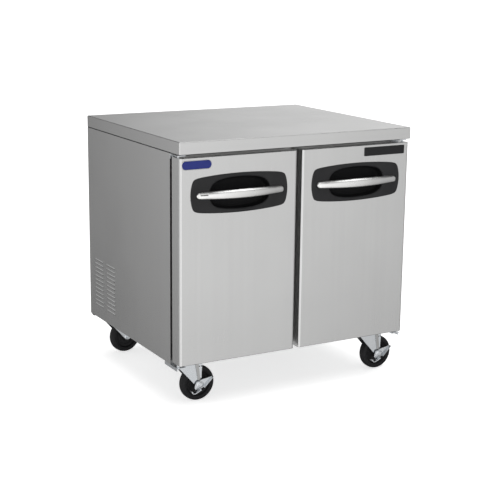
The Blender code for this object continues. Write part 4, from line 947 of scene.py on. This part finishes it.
def make_fork(corner):
    """Pressed yoke: a crown under the race, two legs with a stiffening rib, hub bosses and the axle bolt."""
    place, lead, axle = caster_frame(corner)
    low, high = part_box(f"caster_{corner}_fork")
    top = high.z
    sheet, inner = LEG_SHEET, LEG_INNER
    crown = [(0.0355, top - sheet), (0.0362, top - sheet * 0.6), (0.0358, top - 0.0004), (0.0350, top),
             (0.0135, top), (0.0125, top - 0.0006), (0.0125, top - sheet), (0.0140, top - sheet)]
    hub = [(0.0132, 0.0), (0.0132, 0.0018), (0.0122, 0.0026), (0.0102, 0.0030), (0.0062, 0.0030)]
    shape = bmesh.new()
    add_turned(shape, crown, count=48, joined=True)
    bend = 0.0045
    leg = leg_outline(lead, axle, top - bend * 0.6)
    for side in (-1, 1):
        add_prism(shape, leg, side * inner, side * (inner + sheet), "Y", 0.0007)
        shoulder = []
        for x in (LEG_REAR, LEG_FRONT):
            arc = []
            for t in smooth_steps(6):
                angle = t * math.pi / 2
                out = inner + sheet - bend + bend * math.sin(angle)
                arc.append((x, side * out, top - bend + bend * math.cos(angle)))
            under = [(x, side * inner, top - bend), (x, side * (inner - bend), top - sheet)]
            shoulder.append([(x, side * (inner - bend), top)] + arc + under)
        add_stack(shape, shoulder)
        boss = axis_frame((lead, side * (inner + sheet * 0.5), axle), (0, side, 0))
        add_turned(shape, hub, boss, 32)
    reach_near, reach_far = -0.0345, 0.0280
    add_tube(shape, [(lead, y, axle) for y in (reach_near + 0.001, 0, reach_far - 0.001)], 0.0060, 20)
    add_bolt(shape, (lead, 0.0245, axle), (0, 1, 0), 0.0080, 0.0052)
    add_bolt(shape, (lead, BRAKE_FRONT if "front" in corner else -0.0245, axle), (0, -1, 0), 0.0078, 0.0046)
    race = 0.0318
    ball = [(0.0, 0.0), (0.0011, 0.0003), (0.0016, 0.0012), (0.0011, 0.0021), (0.0, 0.0024)]
    for step in smooth_steps(20)[:-1]:
        angle = math.tau * step
        add_turned(shape, ball, Matrix.Translation((race * math.cos(angle), race * math.sin(angle), top)), 8)
    piece(f"caster_{corner}_yoke", shape, "swivel_" + corner, ZINC, [f"caster_{corner}_fork"], place)
    shape = bmesh.new()
    rib = [(lead - 0.0170, top - 0.0070), (lead - 0.0045, top - 0.0070), (lead + 0.0025, axle + 0.0150),
           (lead - 0.0065, axle + 0.0150)]
    for side in (-1, 1):
        add_prism(shape, rib, side * (inner + sheet + 0.0002), side * (inner + sheet + 0.0038), "Y", 0.0007)
    # The ribs take the darker stainless copy, painted shade that makes them read as dark lines on the legs.
    piece(f"caster_{corner}_ribs", shape, "swivel_" + corner, STEEL_FRAME_SHADED, place=place)
    shape = bmesh.new()
    rivet = [(0.0025, -0.0003), (0.0025, 0.0004), (0.0018, 0.0010), (0.0004, 0.0012)]
    for side in (-1, 1):
        for across in (lead + 0.0005, lead + 0.0085):
            spot = axis_frame((across, side * (inner + sheet), top - 0.0195), (0, side, 0))
            add_turned(shape, rivet, spot, 16)
    piece(f"caster_{corner}_rivets", shape, "swivel_" + corner, BLACK_ENAMEL, place=place)


def make_wheel(corner):
    """Solid wheel: crowned tread with shoulders, a dished web with a raised ring, a hub with a steel bush."""
    place, lead, axle = caster_frame(corner)
    radius, half = axle, 0.016
    spin = place @ axis_frame((lead, 0, axle), (0, -1, 0))
    hub = 0.0185
    one_side = [(0.0095, hub), (0.0150, hub), (0.0166, hub - 0.0010), (0.0178, half - 0.0050),
                (0.0200, half - 0.0072), (0.0310, half - 0.0078), (0.0325, half - 0.0064),
                (0.0345, half - 0.0064), (0.0360, half - 0.0078), (0.0425, half - 0.0068),
                (0.0448, half - 0.0040), (0.0462, half - 0.0012), (0.0480, half - 0.0002), (0.0505, half),
                (0.0512, half - 0.0007), (0.0520, half), (0.0565, half - 0.0004), (0.0592, half - 0.0014),
                (0.0612, half - 0.0034), (0.0625, half - 0.0062), (0.0632, half - 0.0095),
                (radius, half - 0.0135)]
    other_side = [(ring, -level) for ring, level in reversed(one_side)]
    shape = bmesh.new()
    add_turned(shape, one_side + [(radius - 0.0001, 0.0)] + other_side, spin, 96, joined=True)
    body = "wheel_" + corner
    piece(f"caster_{corner}_tyre", shape, body, RUBBER, [f"caster_{corner}_wheel"], angle=28)
    shape = bmesh.new()
    add_turned(shape, [(0.0064, -hub), (0.0094, -hub), (0.0094, hub), (0.0064, hub)], spin, 32, joined=True)
    piece(f"caster_{corner}_bush", shape, body, ZINC)


def add_strip(shape, path, start, end, thickness):
    """A bent sheet: a line of (x, z) points swept from one y to another, thickened to one side."""
    outline = []
    for sign in (0.5, -0.5):
        side = []
        for index, point in enumerate(path):
            before = Vector(path[max(index - 1, 0)])
            after = Vector(path[min(index + 1, len(path) - 1)])
            ahead = (after - before).normalized()
            side.append((point[0] - ahead.y * thickness * sign, point[1] + ahead.x * thickness * sign))
        outline += side if sign > 0 else side[::-1]
    add_prism(shape, outline, start, end, "Y", thickness * 0.25)


def flat_path(corners, radius, steps=5):
    """A flat line through corner points, with each inner corner rounded."""
    return [(point.x, point.y) for point in smooth_path([(a, b, 0) for a, b in corners], radius, steps)]


def make_brake(corner):
    """Stamped rocker: a boss plate on the axle, a pointed release tab and a curled toe pad."""
    place, lead, axle = caster_frame(corner)
    tilt = Matrix.Rotation(-math.radians(26), 4, "Y")
    shape = bmesh.new()
    plate = flat_path([(-0.020, -0.0125), (0.004, -0.0165), (0.020, -0.0110), (0.0500, -0.0030),
                       (0.0535, 0.0012), (0.036, 0.0055), (0.014, 0.0130), (-0.008, 0.0145),
                       (-0.022, 0.0060), (-0.0255, -0.006), (-0.020, -0.0125)], 0.006, 4)[1:-1]
    add_prism(shape, plate, BRAKE_FRONT, BRAKE_BACK, "Y", 0.0005)
    boss = axis_frame((0, BRAKE_FRONT, 0), (0, -1, 0))
    add_turned(shape, [(0.0125, -0.0004), (0.0125, 0.0008), (0.0110, 0.0016), (0.0088, 0.0019)], boss, 32)
    pad = flat_path([(-0.008, -0.0135), (-0.026, -0.0140), (-0.0385, -0.0125), (-0.0440, -0.0045),
                     (-0.0415, 0.0015)], 0.007)
    add_strip(shape, pad, -0.0440, BRAKE_BACK, 0.0024)
    tab = flat_path([(0.006, -0.0150), (0.028, -0.0085), (0.0540, 0.0005)], 0.010)
    add_strip(shape, tab, -0.0385, BRAKE_BACK, 0.0022)
    place = place @ Matrix.Translation((lead, 0, axle)) @ tilt
    piece(f"caster_{corner}_pedal", shape, "brake_" + corner, ZINC, [f"caster_{corner}_brake"], place)


# ---------------------------------------------------------------- inside

def make_shelf(word):
    """Wire shelf: a rod frame, wires front to back and tie rods below them."""
    low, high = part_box("shelf_" + word)
    frame_radius, wire_radius, tie_radius, wires = 0.0027, 0.0016, 0.0024, 27
    inset = frame_radius + 0.0002
    level = low.z + inset
    left, front, right, back = low.x + inset, low.y + inset, high.x - inset, high.y - inset
    path = [(left, front, level), (right, front, level), (right, back, level), (left, back, level)]
    closed = smooth_path(path + path[:2], 0.014)[1:-1]
    shape = bmesh.new()
    add_tube(shape, closed + closed[:1], frame_radius, 10)
    above = high.z - wire_radius
    for index in range(1, wires):
        across = left + (right - left) * index / wires
        add_tube(shape, [(across, front, above), (across, back, above)], wire_radius, 8)
    below = level - 0.0004
    for share in (0.25, 0.5, 0.75):
        along = low.y + (high.y - low.y) * share
        add_tube(shape, [(left, along, below), (right, along, below)], tie_radius, 8)
    piece(f"shelf_{word}_wires", shape, CABINET, ZINC, ["shelf_" + word])


def make_fan(name, body, paint, axis, blades, radius, hub, depth):
    """Pressed fan: a rounded hub cup and twisted, cambered blades."""
    centre = Vector(JOINTS[body + "_spin"]["pos_m"])
    place = axis_frame(centre, axis)
    shape = bmesh.new()
    bore = hub * 0.24
    cup = [(bore, depth), (hub * 0.80, depth), (hub * 0.96, depth * 0.80), (hub, depth * 0.45),
           (hub, -depth * 0.9), (hub * 0.93, -depth), (hub * 0.86, -depth * 0.9), (hub * 0.84, depth * 0.5),
           (bore * 1.9, depth * 0.6), (bore * 1.8, -depth * 0.7), (bore, -depth * 0.7)]
    add_turned(shape, cup, count=40, joined=True)
    for blade in range(blades):
        turn = Matrix.Rotation(math.tau * blade / blades, 4, "Z")
        loops = []
        for t in smooth_steps(9):
            reach = hub * 0.93 + (radius - hub * 0.93) * t
            pitch = math.radians(42 - 20 * t)
            chord = radius * (0.34 + 0.42 * t - 0.16 * t ** 3) * (1 - 0.35 * max(0.0, t - 0.8) / 0.2)
            sweep = 0.10 * radius * t ** 2
            upper, lower = [], []
            for s in smooth_steps(7):
                along = (s - 0.5) * chord
                camber = 0.06 * chord * (1 - (2 * s - 1) ** 2)
                y = along * math.cos(pitch) + sweep
                z = along * math.sin(pitch) + camber
                x = math.sqrt(max(reach ** 2 - min(y, reach * 0.9) ** 2, 0))
                upper.append(turn @ Vector((x, y, z + 0.0006)))
                lower.append(turn @ Vector((x, y, z - 0.0006)))
            loops.append(upper + lower[::-1])
        add_stack(shape, loops)
    limit_height(shape, depth * 1.05)
    piece(name, shape, body, paint, [body], place)


def limit_height(shape, most):
    """Keeps the blades within the depth that the fan's solid has."""
    for vert in shape.verts:
        vert.co.z = max(-most, min(most, vert.co.z))


def make_coil(name, node, along):
    """Finned coil: thin aluminium fins, copper tubes through them and return bends outside the end fins."""
    low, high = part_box(node)
    axis = "XYZ".index(along)
    deep, tall = [index for index in range(3) if index != axis]
    margin, fin_pitch, half_fin, row_pitch, columns = 0.009, 0.0030, 0.00022, 0.025, 2
    fins = bmesh.new()
    count = int((high[axis] - low[axis] - 2 * margin) / fin_pitch)
    for index in range(count):
        place = low[axis] + margin + (high[axis] - low[axis] - 2 * margin) * index / (count - 1)
        first, second = Vector(low), Vector(high)
        first[axis], second[axis] = place - half_fin, place + half_fin
        add_box(fins, first, second, 0)
    piece(name + "_fins", fins, CABINET, ALUMINIUM, [node])
    tubes = bmesh.new()
    rows = max(2, int((high[tall] - low[tall]) / row_pitch))
    for column in range(columns):
        side = low[deep] + (high[deep] - low[deep]) * (column + 0.5) / columns
        spots = [low[tall] + (high[tall] - low[tall]) * (row + 0.5) / rows for row in range(rows)]
        path = []
        for row, level in enumerate(spots):
            ends = (low[axis] + 0.005, high[axis] - 0.005)
            for end in ends if row % 2 == 0 else ends[::-1]:
                point = Vector((0, 0, 0))
                point[axis], point[deep], point[tall] = end, side, level
                path.append(point)
        add_tube(tubes, smooth_path(path, 0.0085, 5), 0.0040, 10)
    piece(name + "_tubes", tubes, CABINET, COPPER)


def make_compressor():
    """Hermetic pot: domed shell halves with a weld seam, a foot plate on rubber mounts, a cover and tubes."""
    low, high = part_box("compressor")
    base = low.z + 0.0135
    top = high.z
    centre = Vector((high.x - 0.095, (low.y + high.y) / 2, 0))
    place = Matrix.Translation(centre)
    rise = top - base
    shape = bmesh.new()
    profile = [(0.0, rise)]
    for t in smooth_steps(9)[1:]:
        angle = t * math.pi / 2
        profile.append((0.0835 * math.sin(angle) ** 0.85, rise - 0.058 * (1 - math.cos(angle)) ** 1.1))
    profile += [(0.0835, 0.086), (0.0862, 0.0845), (0.0870, 0.0790), (0.0862, 0.0735), (0.0830, 0.072)]
    for t in smooth_steps(8)[1:]:
        angle = t * math.pi / 2
        profile.append((0.0830 * math.cos(angle) ** 0.6 + 0.0001, 0.050 - 0.046 * math.sin(angle)))
    add_turned(shape, [(radius, base + height) for radius, height in profile], place, 72)
    piece("compressor_shell", shape, CABINET, BLACK_ENAMEL, ["compressor"], angle=40)
    shape = bmesh.new()
    foot_plate = rounded_loop(0.095, 0.080, 0.014)
    add_stack(shape, [[(centre.x + a, centre.y + b, level) for a, b in foot_plate]
                      for level in (base - 0.004, base - 0.001)])
    add_box(shape, (centre.x - 0.1200, centre.y - 0.030, base + 0.060),
            (centre.x - 0.0780, centre.y + 0.030, base + 0.125), 0.004, 3)
    piece("compressor_base", shape, CABINET, BLACK_ENAMEL)
    shape = bmesh.new()
    mount = [(0.0, 0.0), (0.0120, 0.0), (0.0125, 0.0035), (0.0095, 0.0060), (0.0120, 0.0090),
             (0.0115, 0.0180), (0.0, 0.0185)]
    for sign_x in (-1, 1):
        for sign_y in (-1, 1):
            foot = Matrix.Translation((centre.x + sign_x * 0.078, centre.y + sign_y * 0.064, base - 0.0135))
            add_turned(shape, mount, foot, 24)
    piece("compressor_mounts", shape, CABINET, RUBBER)
    shape = bmesh.new()
    coil_low, coil_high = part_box("condenser_coil")
    deck, run = base + 0.030, centre.y + 0.085
    discharge = [(centre.x - 0.060, centre.y + 0.050, deck), (centre.x - 0.110, run, deck),
                 (centre.x - 0.110, run, deck + 0.080), (centre.x - 0.300, run, deck + 0.080),
                 (coil_high.x + 0.045, run, deck + 0.080),
                 (coil_high.x + 0.045, coil_high.y - 0.020, deck + 0.120)]
    add_tube(shape, smooth_path(discharge, 0.018), 0.0032, 12)
    riser = centre.x + 0.075
    suction = [(centre.x + 0.055, centre.y + 0.052, deck + 0.020), (riser, run, deck + 0.030),
               (riser, run, top + 0.012), (riser, centre.y - 0.050, top + 0.020)]
    add_tube(shape, smooth_path(suction, 0.020), 0.0048, 12)
    piece("refrigerant_tubes", shape, CABINET, COPPER)


def make_evaporator_trim():
    """Fan guard, dial marks and screws on the evaporator's cover."""
    low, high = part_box("evaporator_cover")
    fan = Vector(JOINTS["evaporator_fan_spin"]["pos_m"])
    knob = Vector(JOINTS["thermostat_turn"]["pos_m"])
    face = low.y
    shape = bmesh.new()
    for radius in (0.016, 0.029, 0.042, 0.055, 0.068):
        ring = [(fan.x + a, face - 0.0045, fan.z + b) for a, b in circle_loop(radius, 40)]
        add_tube(shape, ring + ring[:1], 0.0012, 8)
    for spoke in range(4):
        angle = math.pi / 4 + math.tau * spoke / 4
        inner = (fan.x + 0.016 * math.cos(angle), face - 0.0030, fan.z + 0.016 * math.sin(angle))
        outer = (fan.x + 0.074 * math.cos(angle), face - 0.0030, fan.z + 0.074 * math.sin(angle))
        add_tube(shape, [inner, outer, (outer[0], face - 0.0002, outer[2])], 0.0014, 8)
    piece("evaporator_fan_guard", shape, CABINET, ZINC)
    shape = bmesh.new()
    for across in (low.x + 0.010, (low.x + high.x) / 2 + 0.010, high.x - 0.010):
        for level in (low.z + 0.010, high.z - 0.010):
            add_screw(shape, (across, face, level), (0, -1, 0), 0.0036)
    piece("evaporator_screws", shape, CABINET, ZINC)
    shape = bmesh.new()
    for mark in range(10):
        angle = math.radians(-135 + 30 * mark)
        mark_at = Vector((math.sin(angle), 0, math.cos(angle)))
        long_mark = 0.0050 if mark % 3 == 0 else 0.0030
        start = Vector((knob.x, face - 0.0002, knob.z)) + mark_at * 0.0200
        add_tube(shape, [start, start + mark_at * long_mark], 0.0006, 6)
    piece("thermostat_marks", shape, CABINET, BLACK_PLATE)


def make_knob():
    """Thermostat knob: a skirted dial with a fluted grip and a pointer."""
    low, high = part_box("thermostat_knob")
    pivot = Vector(JOINTS["thermostat_turn"]["pos_m"])
    face = pivot.y - GAP
    place = axis_frame((pivot.x, face, pivot.z), (0, -1, 0))
    shape = bmesh.new()
    loops = []
    profile = ((0.0168, 0.0, 0), (0.0170, 0.0010, 0), (0.0166, 0.0022, 0), (0.0150, 0.0030, 0),
               (0.0138, 0.0036, 0.4), (0.0132, 0.0060, 1), (0.0126, 0.0120, 1), (0.0120, 0.0134, 0.7),
               (0.0104, 0.0142, 0), (0.0060, 0.0145, 0))
    for radius, height, flute in profile:
        loop = []
        for step in range(72):
            angle = math.tau * step / 72
            reach = radius - flute * 0.0005 * (1 + math.cos(18 * angle))
            loop.append(place @ Vector((reach * math.cos(angle), reach * math.sin(angle), height)))
        loops.append(loop)
    add_stack(shape, loops)
    add_tube(shape, [(pivot.x, face + 0.008, pivot.z), (pivot.x, face - 0.002, pivot.z)], 0.0029, 16)
    add_box(shape, (pivot.x - 0.0012, face - 0.0152, pivot.z + 0.0020),
            (pivot.x + 0.0012, face - 0.0140, pivot.z + 0.0112), 0.0003)
    piece("thermostat_dial", shape, "thermostat_knob", BLACK_MOULDING, ["thermostat_knob"])


# ---------------------------------------------------------------- stage, light and camera

def make_floor():
    """A wide pale floor that glows a little, so that shadows on it stay light."""
    shape = bmesh.new()
    bmesh.ops.create_grid(shape, x_segments=2, y_segments=2, size=90.0)
    mesh = bpy.data.meshes.new("studio_floor")
    shape.to_mesh(mesh)
    shape.free()
    paint = Paint("pale_floor", 0.9, specular=0.1)
    tone = paint.noise(0.35, detail=2.0)
    pale = paint.mix(paint.span(tone, 0.3, 0.7), (0.93, 0.93, 0.93), (0.95, 0.95, 0.95))
    paint.set(Base_Color=pale, Emission_Color=pale)
    paint.shader.inputs["Emission Strength"].default_value = 0.70
    mesh.materials.append(paint.material)
    floor = bpy.data.objects.new("studio_floor", mesh)
    bpy.context.scene.collection.objects.link(floor)
    floor.visible_glossy = False


def make_sky():
    """A soft studio surround: a dim room with broad glowing screens, each (towards, from, to, strength)."""
    screens = [((0.30, -0.94, -0.15), 0.85, 1.00, 0.82), ((-0.55, -0.83, -0.10), 0.55, 0.95, 0.95),
               ((0.75, 0.65, 0.10), 0.81, 0.985, 0.77), ((-0.95, 0.30, 0.05), 0.60, 0.70, 0.55),
               ((0.95, -0.25, 0.15), 0.55, 1.00, 0.35)]
    world = bpy.data.worlds.new("studio")
    bpy.context.scene.world = world
    world.use_nodes = True
    tree = world.node_tree
    background = tree.nodes["Background"]
    direction = tree.nodes.new("ShaderNodeTexCoord").outputs["Generated"]
    total = None
    for towards, start, full, strength in screens:
        facing = tree.nodes.new("ShaderNodeVectorMath")
        facing.operation = "DOT_PRODUCT"
        facing.inputs[1].default_value = Vector(towards).normalized()
        tree.links.new(direction, facing.inputs[0])
        glow = tree.nodes.new("ShaderNodeMapRange")
        glow.interpolation_type = "SMOOTHSTEP"
        for key, value in (("From Min", start), ("From Max", full), ("To Min", 0.0), ("To Max", strength)):
            glow.inputs[key].default_value = value
        tree.links.new(facing.outputs["Value"], glow.inputs["Value"])
        added = tree.nodes.new("ShaderNodeMath")
        added.operation = "ADD"
        tree.links.new(glow.outputs["Result"], added.inputs[0])
        added.inputs[1].default_value = 0.09
        if total is not None:
            tree.links.new(total, added.inputs[1])
        total = added.outputs["Value"]
    backdrop = tree.nodes.new("ShaderNodeMix")
    tree.links.new(tree.nodes.new("ShaderNodeLightPath").outputs["Is Camera Ray"], backdrop.inputs["Factor"])
    tree.links.new(total, backdrop.inputs["A"])
    backdrop.inputs["B"].default_value = 1.0
    tree.links.new(backdrop.outputs["Result"], background.inputs["Strength"])
    background.inputs["Color"].default_value = (1.0, 1.0, 1.0, 1.0)


def make_lights():
    """One broad overhead light that keeps the floor pale and its shadows soft."""
    sun = bpy.data.lights.new("overhead", "SUN")
    sun.energy = 1.5
    sun.angle = math.radians(64)
    lamp = bpy.data.objects.new("overhead", sun)
    lamp.rotation_euler = (math.radians(10), math.radians(6), 0)
    bpy.context.scene.collection.objects.link(lamp)


def make_camera():
    """Stands to the front left of the cabinet and looks down on its worktop."""
    camera = bpy.data.cameras.new("view")
    camera.sensor_width = 36.0
    camera.lens = 87.4
    eye = bpy.data.objects.new("view", camera)
    yaw, pitch, roll = math.radians(29.62), math.radians(13.27), math.radians(0.70)
    aim = Matrix.Rotation(-yaw, 4, "Z") @ Matrix.Rotation(math.pi / 2 - pitch, 4, "X")
    turn = aim @ Matrix.Rotation(roll, 4, "Z")
    low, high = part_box("worktop")
    back = Vector(((low.x + high.x) / 2, high.y, 0))
    eye.matrix_world = Matrix.Translation(back + Vector((-2.179, -4.274, 1.4956))) @ turn
    bpy.context.scene.collection.objects.link(eye)
    bpy.context.scene.camera = eye


# ---------------------------------------------------------------- assembly

def dress_cad_nodes():
    """Finished materials for the nodes whose own shape shows."""
    dress(STEEL_SIDE, "side_panel_left", "side_panel_right")
    # The darker stainless copy here is painted shade for parts set back behind the doors.
    dress(STEEL_FRAME_SHADED, "face_frame", "mullion", "shelf_rail_left", "shelf_rail_right", "shelf_rail_centre")
    dress(STEEL_TOP, "liner_floor")
    dress(LINER, "liner_ceiling", "liner_back", "liner_left", "liner_right")
    dress(GALVANIZED, "back_panel", "rear_grille", "base_pan", "condenser_shroud")
    dress(ZINC, "hinge_top_left", "hinge_top_right", "hinge_bottom_left", "hinge_bottom_right")
    dress(WHITE_PLASTIC, "evaporator_cover")
    dress(BLACK_ENAMEL, "evaporator_motor", "condenser_motor")
    dress(FOAM, "insulation")


dress_cad_nodes()
make_worktop()
for word, side in SIDES.items():
    side_louvres("side_panel_" + word, side)
    make_door_skin(word)
    make_door_liner(word)
    make_door_gasket(word)
    make_handle_plate(word)
    make_grip_pocket(word)
    make_handle_bar(word)
    make_shelf(word)
make_badge("left", BLUE_ENAMEL, 0.015, SATIN_SILVER)
make_badge("right", BLACK_PLATE, 0.003, BLACK_MOULDING)
hinge_screws()
corner_pads()
rear_louvres()
rear_screws()
cord_bush()
for corner in CORNERS:
    make_caster_plate(corner)
    make_fork(corner)
    make_wheel(corner)
    if corner.startswith("front"):
        make_brake(corner)
make_fan("evaporator_blades", "evaporator_fan", BLACK_MOULDING, (0, -1, 0),
         blades=5, radius=0.068, hub=0.018, depth=0.008)
make_fan("condenser_blades", "condenser_fan", ALUMINIUM, (-1, 0, 0),
         blades=4, radius=0.092, hub=0.024, depth=0.009)
make_coil("evaporator_heat_exchanger", "evaporator_coil", "X")
make_coil("condenser_heat_exchanger", "condenser_coil", "Y")
make_compressor()
make_evaporator_trim()
make_knob()
make_floor()
make_sky()
make_lights()
make_camera()
bpy.context.scene.view_settings.view_transform = "Standard"
